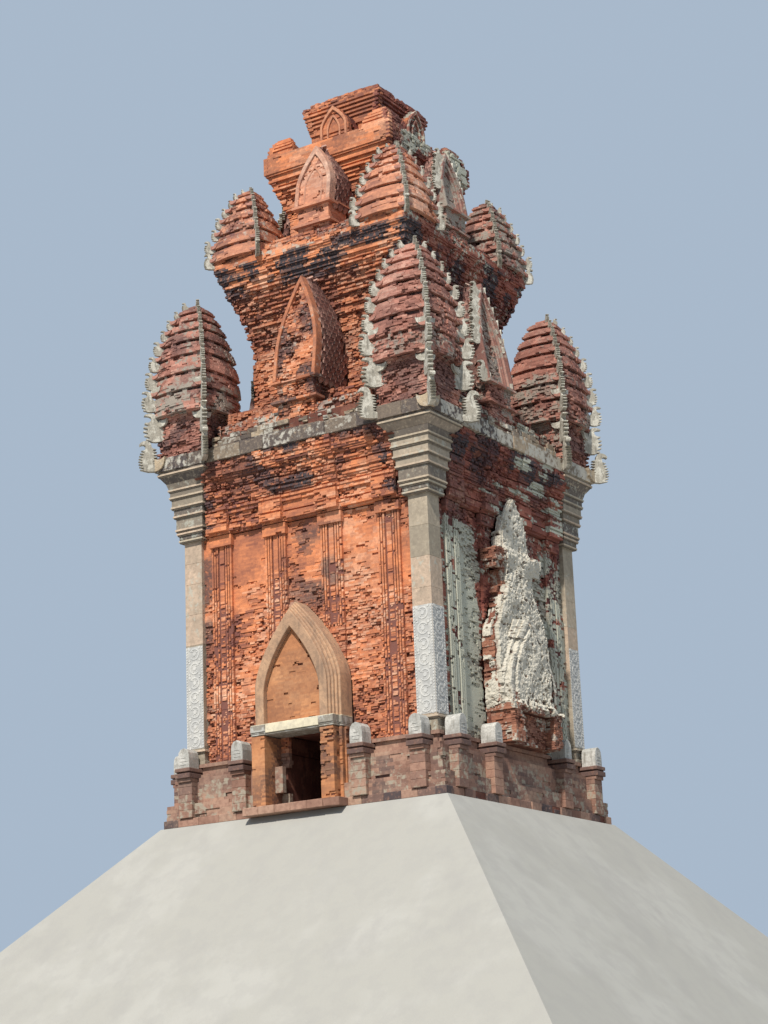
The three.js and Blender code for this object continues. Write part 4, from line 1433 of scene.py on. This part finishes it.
    def add_seat(self, area, material):
        """The small box of courses that the gable stands on."""
        bricks = Masonry(chip=0.008)
        surface = Surface(self.node)
        back = self.back + 0.3
        lay_courses(bricks, surface, area, self.quarter, z1=self.sill, reach=self.half, back=back)
        for lift, proud in ((-0.09, 0.05), (-0.62, 0.04)):
            z = self.sill + lift
            stretch = (-self.half - proud, self.half + proud, self.front + proud)
            lay_stretch(bricks, stretch, self.quarter, ORIGIN, z, z + 0.07, 0, area, 0.4, 0.4)
        bricks.build(f"{self.node}_seat", material, "brick")


# Rings of a niche as (inset, width, sink, tone): a worn border, a border and a panel's rib, or four ribs
# that step back.
WORN = ((0.0, 0.10, 0.0, 0.45),)
BORDERED = ((0.0, 0.12, 0.0, 0.75), (0.27, 0.05, 0.03, 0.6))
RIBBED = (
    (0.0, 0.085, 0.0, 0.3),
    (0.08, 0.085, 0.06, 0.8),
    (0.16, 0.08, 0.11, 0.4),
    (0.235, 0.06, 0.16, 0.8),
)

# Niches of each storey: half width, front, back, sill, spring, apex and lean.
LOWER_NICHE = (0.65, 3.865, 2.4, 11.0, 11.8, 13.9, 0.46)
UPPER_NICHE = (0.56, 2.80, 1.6, 16.15, 16.7, 17.9, 0.28)


def niche_area(wear, soot_and_shade, lichen):
    def area(quarter, x, z):
        return wear, soot_and_shade, lichen + (0.2 if quarter == 1 else 0.0)

    return area


def add_niches():
    """Plain niches with a brick field on the front, and ribbed ones with flames on the other sides."""
    for side, quarter in SIDES.items():
        plain = side == "front"
        grown = side == "right"
        lower = Niche(f"second_storey_niche_{side}", quarter, *LOWER_NICHE)
        upper = Niche(f"third_storey_niche_{side}", quarter, *UPPER_NICHE)
        lower_lichen = 0.65 if grown else 0.3
        upper_lichen = 0.9 if grown else 0.1
        for niche, lichen, wear in ((lower, lower_lichen, 0.55), (upper, upper_lichen, 0.3)):
            if plain:
                material = brick if niche is lower else upper_brick
                rings = WORN if niche is lower else BORDERED
                inset, sink = 0.09, 0.03 if niche is lower else 0.05
                field_lichen = lichen
            else:
                material = turret_brick
                rings = RIBBED
                inset, sink = 0.285, 0.18
                field_lichen = 1.3 if grown else 0.75
            soot_and_shade = 0.9 if niche is lower and plain else 0.2
            niche.add_vault()
            niche.add_rings(rings, lichen, material)
            niche.add_field(inset, sink, niche_area(wear, soot_and_shade, field_lichen), material)
            niche.add_scales(niche_area(0.4, 0.3, lichen + 0.25))
            niche.add_seat(niche_area(wear, soot_and_shade, lichen), material)
            if not plain:
                niche.add_flames(7 if niche is lower else 5)


# The cornice keeps the lines of the pilasters below it, and lines are sunk between its mouldings.
PILASTER_MIDDLES = (-2.52, -0.84, 0.84, 2.52)
PILASTER_HALF = 0.34
CORNICE_LINES = (7.62, 7.94, 8.24, 8.48, 8.72, 8.95)
STOREY_CORNICES = ((13.4, 14.3), (16.9, 17.6), (18.3, 18.7), (19.15, 19.7))

# Heights between the rings of courses.
CORNICE_FOOT = 7.35
CORNICE_TOP = 9.2
PARAPET_TOP = 9.9
UPPER_FOOT = 15.12
THIRD_TOP = 18.27
TOWER_TOP = 20.0


def cornice_cut(stretch, z):
    x0, x1, face = stretch
    sunk = 0.05 if min(abs(z - line) for line in CORNICE_LINES) < COURSE / 2 else 0.0
    ends = [m + side * PILASTER_HALF for m in PILASTER_MIDDLES for side in (-1, 1)]
    edges = [x0] + [end for end in ends if x0 + 0.02 < end < x1 - 0.02] + [x1]
    pieces = []
    for left, right in zip(edges, edges[1:]):
        middle = (left + right) / 2
        proud = 0.05 if any(abs(middle - m) < PILASTER_HALF for m in PILASTER_MIDDLES) else 0.0
        if abs(middle) > max(PILASTER_MIDDLES):
            proud = proud or -0.08
        pieces.append((left, right, face + proud - sunk))
    return pieces


def storey_cut(stretch, z):
    """Dark lines sunk between the mouldings of a storey's own cornice."""
    x0, x1, face = stretch
    in_cornice = any(low < z < high for low, high in STOREY_CORNICES)
    sunk = 0.055 if in_cornice and int(z / COURSE) % 2 == 0 else 0.0
    return [(x0, x1, face - sunk)]


CAPITAL = Surface("corner_pilaster_front_right")
CAPITAL_HEIGHTS = (7.36, 9.18)


def capital_reach(z):
    """How far the cornice reaches along a side before the stone capital stands in its way."""
    low, high = CAPITAL_HEIGHTS
    half = CAPITAL.depth(0, (CORNER_PLACE, -CORNER_PLACE), 0.0, min(max(z, low), high))
    return CORNER_PLACE - half + 0.01


def add_ring_storey(node, area, z0, z1, reach, covers, recut):
    """Four sides of courses between two heights, left out behind the covers, and the core inside them."""
    surface = Surface(node)
    for side, quarter in SIDES.items():
        bricks = Masonry()
        side_covers = Surface(f"{covers}_{side}") if covers else None
        lay_courses(
            bricks, surface, area, quarter, z0=z0, z1=z1, reach=reach, covers=side_covers, recut=recut
        )
        bricks.build(f"{node}_{side}_bricks", side_brick(side), "brick")
    core = add_core(node, "brick")
    if node == "main_cornice":
        open_corners(core)


def open_corners(core):
    """Take the corners off a core where the stone capitals stand."""
    bm = bmesh.new()
    bm.from_mesh(core.data)
    inner = 3.02
    for normal in ((-1, 0, 0), (1, 0, 0), (0, -1, 0), (0, 1, 0)):
        everything = bm.verts[:] + bm.edges[:] + bm.faces[:]
        bmesh.ops.bisect_plane(bm, geom=everything, plane_co=Vector(normal) * inner, plane_no=normal)
    middles = ((face, face.calc_center_median()) for face in bm.faces)
    corner = [face for face, middle in middles if min(abs(middle.x), abs(middle.y)) > inner]
    bmesh.ops.delete(bm, geom=corner, context="FACES")
    bm.to_mesh(core.data)
    bm.free()


# The gable on each side of the top storey: rings between an outer and an inner outline, each as (half
# width, spring, apex), and how proud of the face they stand.
TOP_GABLE_FOOT = 18.3
TOP_GABLE_FACE = 1.6
TOP_GABLE_RINGS = (
    ((0.43, 18.8, 19.42), (0.36, 18.8, 19.30), 0.05),
    ((0.22, 18.72, 19.16), (0.17, 18.70, 19.08), 0.04),
)


def add_top_gables():
    for side, quarter in SIDES.items():
        bm = bmesh.new()
        for outer, inner, proud in TOP_GABLE_RINGS:
            front = TOP_GABLE_FACE + proud
            arch_band(bm, outer, inner, TOP_GABLE_FOOT, front, TOP_GABLE_FACE - 0.06, 0.01)
        bmesh.ops.recalc_face_normals(bm, faces=bm.faces)
        turn_side(bm, bm.verts, quarter)
        rings = from_bmesh(f"top_storey_gable_{side}", bm, side_brick(side), "brick")
        paint(rings.data, (0.65, 0.25, 0.4 if side == "right" else 0.0, 0.1))


def slab_area(quarter, x, z):
    return 0.25, 0.9, 0.9 if quarter in (1, 2) else 0.55


def rubble_area(quarter, x, z):
    return 0.55, 0.6, 0.75


def add_slab():
    """The stone slab over the walls, and the parapet above it: one course of stone and two of rubble."""
    surface = Surface("main_slab")
    parapet = Surface("second_storey")
    blocks = Masonry(chip=0.006, bevel=0.008)
    rubble = Masonry(chip=0.02, bevel=0.012)
    low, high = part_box("main_slab")
    z0, z1 = low[2], high[2]
    for quarter in range(4):
        for stretch in level_stretches(surface, None, quarter, ORIGIN, (z0 + z1) / 2, 4.2):
            lay_stretch(blocks, stretch, quarter, ORIGIN, z0, z1, 0, slab_area, 0.95, 0.5)
        for x0, x1, face in level_stretches(parapet, None, quarter, ORIGIN, (z1 + PARAPET_TOP) / 2, 4.0):
            if face < 3.5:
                continue
            lip = z1 + 0.07
            middle = (lip + PARAPET_TOP) / 2
            layers = (
                (blocks, face + 0.02, z1, lip, slab_area, 0.7),
                (rubble, face, lip, middle, rubble_area, 0.34),
                (rubble, face - 0.02, middle, PARAPET_TOP, rubble_area, 0.3),
            )
            for course, (masonry, out, foot, top, area, length) in enumerate(layers):
                lay_stretch(masonry, (x0, x1, out), quarter, ORIGIN, foot, top, course, area, length, 0.3)
    width = 0.36
    volutes = [
        ((x, y, z0 + 0.03), heading, width, 0.36, 0.11)
        for x, y, heading in beside_corners(ORIGIN, high[0], width, CORNERS.values())
    ]
    volutes = link_plates("main_slab_volutes", [leaf_stone_outline()], volutes, slab_stone, "stone")
    paint(volutes.data, (0.8, 0.1, 0.3, 0.1))
    blocks.build("main_slab_blocks", slab_stone, "stone")
    rubble.build("parapet_rubble", slab_stone, "brick")
    add_core("main_slab", "stone", 0.2)


# Stone corners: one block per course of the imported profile, with the tall shaft cut into several.
SHAFT_BLOCK = 0.72
# Fillets along the capital's mouldings, paler in part as painted highlight, each with a dark band under it as
# painted shadow.
FILLETS = (1.9, 7.37, 7.56, 7.66, 8.02, 8.26, 8.52, 8.72, 9.12)
FILLET_PAINTED_SHADOW = (0.0, 1.0, 0.0, 1.0)


def add_corner_stones():
    for name, (sx, sy) in CORNERS.items():
        node = f"corner_pilaster_{name}"
        surface = Surface(node)
        centre = (sx * CORNER_PLACE, sy * CORNER_PLACE)
        facing = 0 if sy < 0 else 2
        blocks = Masonry(bevel=0.005)
        levels = []
        for z in surface.levels:
            if not levels or z - levels[-1] > 0.012:
                levels.append(z)
        for z0, z1 in zip(levels, levels[1:]):
            count = max(1, round((z1 - z0) / SHAFT_BLOCK))
            for i in range(count):
                low = z0 + (z1 - z0) * i / count
                high = z0 + (z1 - z0) * (i + 1) / count
                foot = surface.depth(facing, centre, 0.0, low + 0.006)
                top = surface.depth(facing, centre, 0.0, high - 0.006)
                if foot is None or top is None:
                    continue
                weather = corner_weather(low, high)
                add_square(blocks, centre, foot, low + 0.001, high - 0.001, weather, top - foot)
        for z in FILLETS:
            half = max(surface.depth(facing, centre, 0.0, z + dz) for dz in (-0.03, 0.005, 0.03)) + 0.022
            weather = (rng.uniform(0.5, 0.9), 0.1, rng.uniform(0.1, 0.4), 0.0)
            add_square(blocks, centre, half, z - 0.024, z + 0.024, weather)
            add_square(blocks, centre, half - 0.014, z - 0.056, z - 0.025, FILLET_PAINTED_SHADOW)
        pieces = blocks.build(f"{node}_blocks", corner_stone, "stone")
        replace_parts(pieces[0], node)
        add_carved_panels(node, centre, sx, sy)


def add_square(blocks, centre, half, z0, z1, weather, flare=0.0):
    blocks.add(0, centre, -half, half, -half, half, z0, z1, weather, flare)


def corner_weather(low, high):
    """Shaft blocks vary in tint; the capital above them is darker and the foot between."""
    if low > 7.3:
        return rng.uniform(0.1, 0.7), rng.uniform(0.3, 0.9), rng.uniform(0.0, 0.4), 0.1
    if high - low < 0.4:
        return 0.35, 0.3, 0.3, 0.1
    return rng.uniform(0.2, 1.0), 0.25, rng.uniform(0.0, 0.3), 0.05


# The lower shafts are carved: scrolls one above another between two rows of beads.
PANEL_FOOT = 1.98
PANEL_TOP = 4.58
SCROLL_CELLS = 7
SHAFT_HALF = 0.27
BEAD_PITCH = 0.07
BEAD_EDGE = 0.235


def arc(radius, start, end, steps, height=None):
    """Places along a circle, or along an oval with another radius in height."""
    height = radius if height is None else height
    return [(radius * math.cos(a), height * math.sin(a)) for a in np.linspace(start, end, steps)]


def leaf(x, z, length, width, angle):
    """A pointed leaf as a closed outline that starts at a place and grows along an angle."""
    cosine = math.cos(angle)
    sine = math.sin(angle)
    points = [(0, 0), (0.35, 0.5), (0.7, 0.38), (1, 0), (0.7, -0.38), (0.35, -0.5)]
    return [
        (x + length * s * cosine - width * t * sine, z + length * s * sine + width * t * cosine)
        for s, t in points
    ]


def scroll_cell(side):
    """One scroll in a cell of about 0.4: a curled stem, its bud and the leaves round it."""
    curl = arc(0.155, 0.5, 5.6, 15) + arc(0.115, 5.6, 0.5, 15)
    bud = arc(0.055, 0, 2 * math.pi, 9)[:-1]
    outlines = [curl, bud]
    outlines += [leaf(0.065 * math.cos(a), 0.065 * math.sin(a), 0.05, 0.035, a) for a in (0.9, 2.6, 4.2, 5.4)]
    outlines += [leaf(0.12, 0.1, 0.12, 0.07, 0.9), leaf(-0.13, 0.12, 0.09, 0.06, 2.2)]
    outlines += [leaf(-0.13, -0.12, 0.1, 0.06, 4.0), leaf(0.13, -0.12, 0.1, 0.06, 5.3)]
    return [[(side * x, z) for x, z in outline] for outline in outlines]


def add_carved_panels(node, centre, sx, sy):
    """The panels on both outer faces of a shaft, each face given as its heading and the way out of it."""
    cell = (PANEL_TOP - PANEL_FOOT) / SCROLL_CELLS
    faces = ((0.0 if sy < 0 else math.pi, 0, sy), (sx * math.pi / 2, sx, 0))
    scrolls = {1: [], -1: []}
    beads = []
    panels = []
    for heading, out_x, out_y in faces:
        x = centre[0] + out_x * SHAFT_HALF
        y = centre[1] + out_y * SHAFT_HALF
        for i in range(SCROLL_CELLS):
            side = 1 if i % 2 else -1
            scrolls[side].append(((x, y, PANEL_FOOT + cell * (i + 0.5)), heading, 1.0, 1.0, 0.026))
        for i in range(int((PANEL_TOP - PANEL_FOOT) / BEAD_PITCH)):
            z = PANEL_FOOT + BEAD_PITCH * (i + 0.5)
            for edge in (-BEAD_EDGE, BEAD_EDGE):
                place = (x + edge * abs(out_y), y + edge * abs(out_x), z)
                beads.append((place, heading, 1.0, 1.0, 0.024))
        panels.append(((x, y, (PANEL_FOOT + PANEL_TOP) / 2), heading, 1.0, 1.0, 0.008))
    bead = arc(0.024, 0, 2 * math.pi, 7, 0.028)[:-1]
    half = SHAFT_HALF - 0.004
    tall = (PANEL_TOP - PANEL_FOOT) / 2
    sheet = [(-half, -tall), (half, -tall), (half, tall), (-half, tall)]
    link_plates(f"{node}_scrolls", scroll_cell(1), scrolls[1], carved_stone, "stone")
    link_plates(f"{node}_turned_scrolls", scroll_cell(-1), scrolls[-1], carved_stone, "stone")
    link_plates(f"{node}_beads", [bead], beads, carved_stone, "stone")
    link_plates(f"{node}_panels", [sheet], panels, painted_shade_carved_ground, "stone")


# Turrets and their crests


def plate_template(outlines):
    """Flat plates of thickness 1 along y, each with an outline given as (x, z)."""
    bm = bmesh.new()
    for outline in outlines:
        extrude(bm, [face_from(bm, outline, -0.5)], (0, 1, 0))
    bmesh.ops.recalc_face_normals(bm, faces=bm.faces)
    bmesh.ops.triangulate(bm, faces=[f for f in bm.faces if len(f.verts) > 4])
    return template(bm)


def link_plates(name, outlines, plates, material, slot):
    """Plates given as (place, heading, width, height, thickness) joined into one piece."""
    pattern = plate_template(outlines)
    points = []
    for place, heading, width, height, thickness in plates:
        local = pattern[0] * np.array([width, thickness, height])
        cosine = math.cos(heading)
        sine = math.sin(heading)
        across = local[:, 0] * cosine - local[:, 1] * sine
        along = local[:, 0] * sine + local[:, 1] * cosine
        points.append(np.stack([across, along, local[:, 2]], axis=1) + np.array(place))
    return link(name, arrays_mesh(name, np.array(points), pattern), material, slot)


def flame_outline():
    """A comma-shaped leaf of height 1 that grows out along +x, with a toothed belly and a thin hooked tip."""
    outline = [(-0.25, 0.10), (-0.05, 0.0), (0.12, -0.03), (0.26, -0.02)]
    for i in range(5):
        z = 0.01 + 0.143 * i
        belly = 0.30 + 0.16 * math.sin(math.pi * (z + 0.15))
        outline += [(belly - 0.09, z), (belly + 0.03, z + 0.03)]
        outline += [(belly + 0.03, z + 0.07), (belly - 0.09, z + 0.083)]
    outline += [(0.27, 0.73), (0.245, 0.80), (0.27, 0.86), (0.35, 0.895), (0.47, 0.90), (0.44, 0.95)]
    outline += [(0.34, 0.985), (0.24, 0.995), (0.15, 0.955), (0.10, 0.87), (0.08, 0.76), (0.05, 0.64)]
    return outline + [(-0.05, 0.52), (-0.25, 0.42)]


def fern_outline():
    """The large leaf at the foot of a crest: sharp teeth along both sides and a hooked tip."""
    outline = [(-0.2, 0.10), (-0.2, 0.0), (0.0, -0.02), (0.2, -0.03)]
    for i in range(8):
        z = 0.09 * i
        belly = 0.25 + 0.20 * math.sin(math.pi * (0.27 + 0.85 * z))
        outline += [(belly - 0.07, z), (belly + 0.05, z + 0.03), (belly - 0.07, z + 0.06)]
    outline += [(0.29, 0.75), (0.28, 0.82), (0.33, 0.865), (0.40, 0.86), (0.46, 0.825), (0.47, 0.88)]
    outline += [(0.41, 0.95), (0.33, 0.99), (0.24, 1.0), (0.16, 0.96), (0.11, 0.88), (0.10, 0.80)]
    for i in range(6):
        z = 0.76 - 0.09 * i
        back = 0.09 - 0.10 * math.sin(math.pi * (1 - z))
        outline += [(back + 0.05, z), (back - 0.07, z - 0.035), (back + 0.05, z - 0.06)]
    return outline


def leaf_stone_outline():
    """A leaf that lies along a wall from a corner at +x and turns its tip up at the other end."""
    upper = [(0.5, 0.0), (0.5, 1.0), (0.2, 0.86), (-0.1, 0.82), (-0.3, 0.86), (-0.5, 1.0)]
    return upper + [(-0.49, 0.75), (-0.40, 0.42), (-0.2, 0.16), (0.1, 0.03)]


def beside_corners(centre, face, width, corners):
    """Places and headings for a leaf stone on both faces at each corner, its tip away from the corner."""
    spots = []
    for sx, sy in corners:
        inner = face - width / 2
        spots.append((centre[0] + sx * inner, centre[1] + sy * face, 0.0 if sx > 0 else math.pi))
        spots.append((centre[0] + sx * face, centre[1] + sy * inner, sy * math.pi / 2))
    return spots


# The turrets of each storey, as parts of a turret's height: where the dome's courses meet, where its large
# leaves lie and where its flames stand.
LOWER_COURSES = (0.265, 0.403, 0.515, 0.632, 0.728, 0.808, 0.878, 0.94, 0.985)
LOWER_LEAVES = (0.205, 0.412)
LOWER_FLAMES = (-0.07, 0.119, 0.309, 0.45, 0.567, 0.674, 0.77, 0.845, 0.916, 0.975)
UPPER_COURSES = (0.0, 0.174, 0.36, 0.54, 0.69, 0.81, 0.91, 0.98)
UPPER_FLAMES = (-0.08, 0.127, 0.305, 0.465, 0.625, 0.765, 0.885, 0.98)

# How far a dome's faces bow out, as a part of their half width, and the slots between its courses.
DOME_BOW = 0.15
SLOT_DEPTH = 0.08
SLOT_HEIGHT = 0.085


class Turret:
    """One corner turret, with the heights of its parts worked out from its foot and top."""

    def __init__(self, node, centre, foot, top, half, courses, flames, leaves):
        self.node = node
        self.centre = centre
        self.foot = foot
        self.top = top
        self.half = half
        self.courses = courses
        self.flames = flames
        self.leaves = leaves
        self.surface = Surface(node)

    def at(self, part):
        return self.foot + part * (self.top - self.foot)

    def reach(self, z):
        probe = min(max(z, self.foot + 0.01), self.top - 0.02)
        return self.surface.depth(0, self.centre, 0.0, probe) or 0.1

    def add_core(self):
        """A stack of square rings that follows the turret's outline a little inside it."""
        bm = bmesh.new()
        steps = 40
        for i in range(steps + 1):
            z = self.foot + (self.top - self.foot) * i / steps
            probe = min(max(z, self.foot + 0.005), self.top - 0.005)
            depth = self.surface.depth(0, self.centre, 0.0, probe) or CORE_INSET
            half = max(depth - CORE_INSET, 0.02)
            if i == 0:
                made = bmesh.ops.create_grid(bm, x_segments=1, y_segments=1, size=half)
                bmesh.ops.translate(bm, verts=made["verts"], vec=(*self.centre, self.foot + CORE_DROP))
                ring = bm.faces[:]
                bmesh.ops.reverse_faces(bm, faces=ring)
            else:
                made = bmesh.ops.extrude_face_region(bm, geom=ring, use_keep_orig=(i == 1))["geom"]
                ring = [f for f in made if isinstance(f, bmesh.types.BMFace)]
                for vert in (v for v in made if isinstance(v, bmesh.types.BMVert)):
                    vert.co.x = self.centre[0] + (vert.co.x - self.centre[0]) * half / last_half
                    vert.co.y = self.centre[1] + (vert.co.y - self.centre[1]) * half / last_half
                    vert.co.z = z - CORE_DROP
            last_half = half
        bmesh.ops.recalc_face_normals(bm, faces=bm.faces)
        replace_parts(from_bmesh(f"{self.node}_core", bm, painted_shade_core, "brick"), self.node)

    def add_bricks(self, area, material):
        """The foot in plain courses, then each dome course with a sunk slot along its top, painted dark as
        shade.
        """
        bricks = Masonry()
        dome, tip = self.at(self.courses[0]), self.at(self.courses[-1])
        for quarter in range(4):
            if dome > self.foot:
                lay_courses(bricks, self.surface, area, quarter, self.centre, self.foot, dome)
            for low, high in zip(self.courses, self.courses[1:]):
                self.add_dome_course(bricks, area, quarter, self.at(low), self.at(high))
            lay_courses(bricks, self.surface, area, quarter, self.centre, tip, self.top)
        bricks.build(f"{self.node}_bricks", material, "brick")

    def add_dome_course(self, bricks, area, quarter, z0, z1):
        slot = min(SLOT_HEIGHT, (z1 - z0) * 0.4)
        rows = max(1, round((z1 - z0 - slot) / COURSE))
        height = (z1 - z0 - slot) / rows
        heights = [height] * rows + [slot]
        z = z0
        for row, height in enumerate(heights):
            face = self.reach(z + height / 2)
            stretches = self.slot_stretches(face) if row == rows else [(-face, face, face)]
            bow = (DOME_BOW * face, face)
            for stretch in stretches:
                # Sunk stretches of a slot are painted dark as shade.
                here = slot_painted_shade_area if stretch[2] < face - 0.03 else area
                lay_stretch(bricks, stretch, quarter, self.centre, z, z + height, row, here, bow=bow)
            z += height

    def slot_stretches(self, face):
        """A sunk course with some bricks left standing out in it."""
        stretches = []
        x = -face + 0.04
        while x < face - 0.08:
            end = min(x + rng.uniform(0.12, 0.42), face - 0.05)
            stretches.append((x, end, face - SLOT_DEPTH * rng.uniform(0.7, 1.2)))
            x = end
            if rng.random() < 0.75 and x < face - 0.12:
                end = min(x + rng.uniform(0.08, 0.2), face - 0.05)
                stretches.append((x, end, face - rng.uniform(0.0, 0.012)))
                x = end
        return stretches

    def add_crest(self, corners):
        """A large leaf at the foot of each corner and flames above it, smaller towards the top."""
        flames = []
        ferns = []
        tops = self.flames[1:] + (1.035,)
        for i, (start, end) in enumerate(zip(self.flames, tops)):
            z0 = self.at(start)
            height = (self.at(end) - z0) * (1.0 if i == 0 else 0.92) * rng.uniform(0.97, 1.03)
            seat = self.reach(z0 + 0.3 * height) if i else self.half
            for sx, sy in corners:
                place = (self.centre[0] + sx * seat, self.centre[1] + sy * seat, z0)
                width = height * (1.05 if i == 0 else 1.15)
                plate = (place, math.atan2(sy, sx), width, height, 0.06 + 0.09 * height)
                (flames if i else ferns).append(plate)
        link_plates(f"{self.node}_crest", [flame_outline()], flames, crest_stone, "stone")
        link_plates(f"{self.node}_ferns", [fern_outline()], ferns, crest_stone, "stone")

    def add_corner_leaves(self, corners):
        """Upturned leaves beside the crest: small brick ones at the dome's courses, and large stone ones."""
        stone = [(part, 0.32, 0.22) for part in self.leaves]
        small = [(part, 0.24, 0.11) for part in self.courses[1 if self.leaves else 0 : -2]]
        kinds = (("leaves", stone, crest_stone, "stone"), ("small_leaves", small, turret_brick, "brick"))
        for label, leaves, material, slot in kinds:
            plates = []
            for part, width, height in leaves:
                z = self.at(part)
                face = self.reach(z + height / 2) + 0.035
                for x, y, heading in beside_corners(self.centre, face, width, corners):
                    plates.append(((x, y, z), heading, width, height, 0.07))
            if plates:
                piece = link_plates(f"{self.node}_{label}", [leaf_stone_outline()], plates, material, slot)
                paint(piece.data, (0.55, 0.2, 0.2, 0.1))


# How grey each turret is, and the tops, half widths and places of the lower and the upper ones.
LOWER_GREY = {"front_left": 0.85, "front_right": 0.25, "back_right": 0.35, "back_left": 0.5}
UPPER_GREY = {"front_left": 0.45, "front_right": 0.05, "back_right": 0.95, "back_left": 0.5}
LOWER_TOP = 13.82
LOWER_HALF = 0.80
UPPER_TOP = 17.25
UPPER_HALF = 0.74
UPPER_PLACE = 2.335


def add_turrets():
    slab_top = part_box("main_slab")[1][2]
    for name, (sx, sy) in CORNERS.items():
        lower = Turret(
            f"second_storey_turret_{name}", (sx * CORNER_PLACE, sy * CORNER_PLACE), slab_top, LOWER_TOP,
            LOWER_HALF, LOWER_COURSES, LOWER_FLAMES, LOWER_LEAVES,
        )
        upper = Turret(
            f"third_storey_turret_{name}", (sx * UPPER_PLACE, sy * UPPER_PLACE), UPPER_FOOT, UPPER_TOP,
            UPPER_HALF, UPPER_COURSES, UPPER_FLAMES, (),
        )
        outer_corners = [c for c in CORNERS.values() if c != (-sx, -sy)]
        for turret, grey in ((lower, LOWER_GREY[name]), (upper, UPPER_GREY[name])):
            pale = 0.9 if turret is lower and name == "back_right" else 0.0
            area = turret_area(turret.foot, turret.top, grey, turret is lower, pale)
            turret.add_bricks(area, turret_brick if turret is lower or grey > 0.5 else upper_brick)
            turret.add_crest(outer_corners)
            turret.add_corner_leaves(outer_corners)
            turret.add_core()


# Stage: the ground, and a mound under the tower that falls away from its foot

GROUND_DEPTH = 8.5
GROUND_HALF = 160
MOUND_SPREAD = 0.95


def add_stage():
    bm = bmesh.new()
    bmesh.ops.create_grid(bm, x_segments=1, y_segments=1, size=GROUND_HALF)
    bmesh.ops.translate(bm, verts=bm.verts, vec=(0, 0, -GROUND_DEPTH))
    from_bmesh("ground", bm, ground_material)
    top_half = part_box("floor")[1][0] + 0.05
    bm = bmesh.new()
    bmesh.ops.create_cone(
        bm,
        cap_ends=True,
        segments=4,
        radius1=(top_half + GROUND_DEPTH * MOUND_SPREAD) * math.sqrt(2),
        radius2=top_half * math.sqrt(2),
        depth=GROUND_DEPTH,
        matrix=Matrix.Translation((0, 0, -GROUND_DEPTH / 2 - 0.004)) @ Matrix.Rotation(math.pi / 4, 4, "Z"),
    )
    from_bmesh("mound", bm, ground_material)


add_camera()
add_light()
add_stage()
add_walls()
add_base()
add_floor()
add_corner_stones()
add_slab()
add_ring_storey("main_cornice", cornice_area, CORNICE_FOOT, CORNICE_TOP, capital_reach, None, cornice_cut)
add_ring_storey("second_storey", storey_area, PARAPET_TOP, UPPER_FOOT, 4.0, "second_storey_niche", storey_cut)
add_ring_storey("third_storey", storey_area, UPPER_FOOT, THIRD_TOP, 2.9, "third_storey_niche", storey_cut)
add_ring_storey("top_storey", top_area, THIRD_TOP, TOWER_TOP, 2.0, None, storey_cut)
add_top_gables()
add_turrets()
add_niches()
add_porch()
add_false_doors()
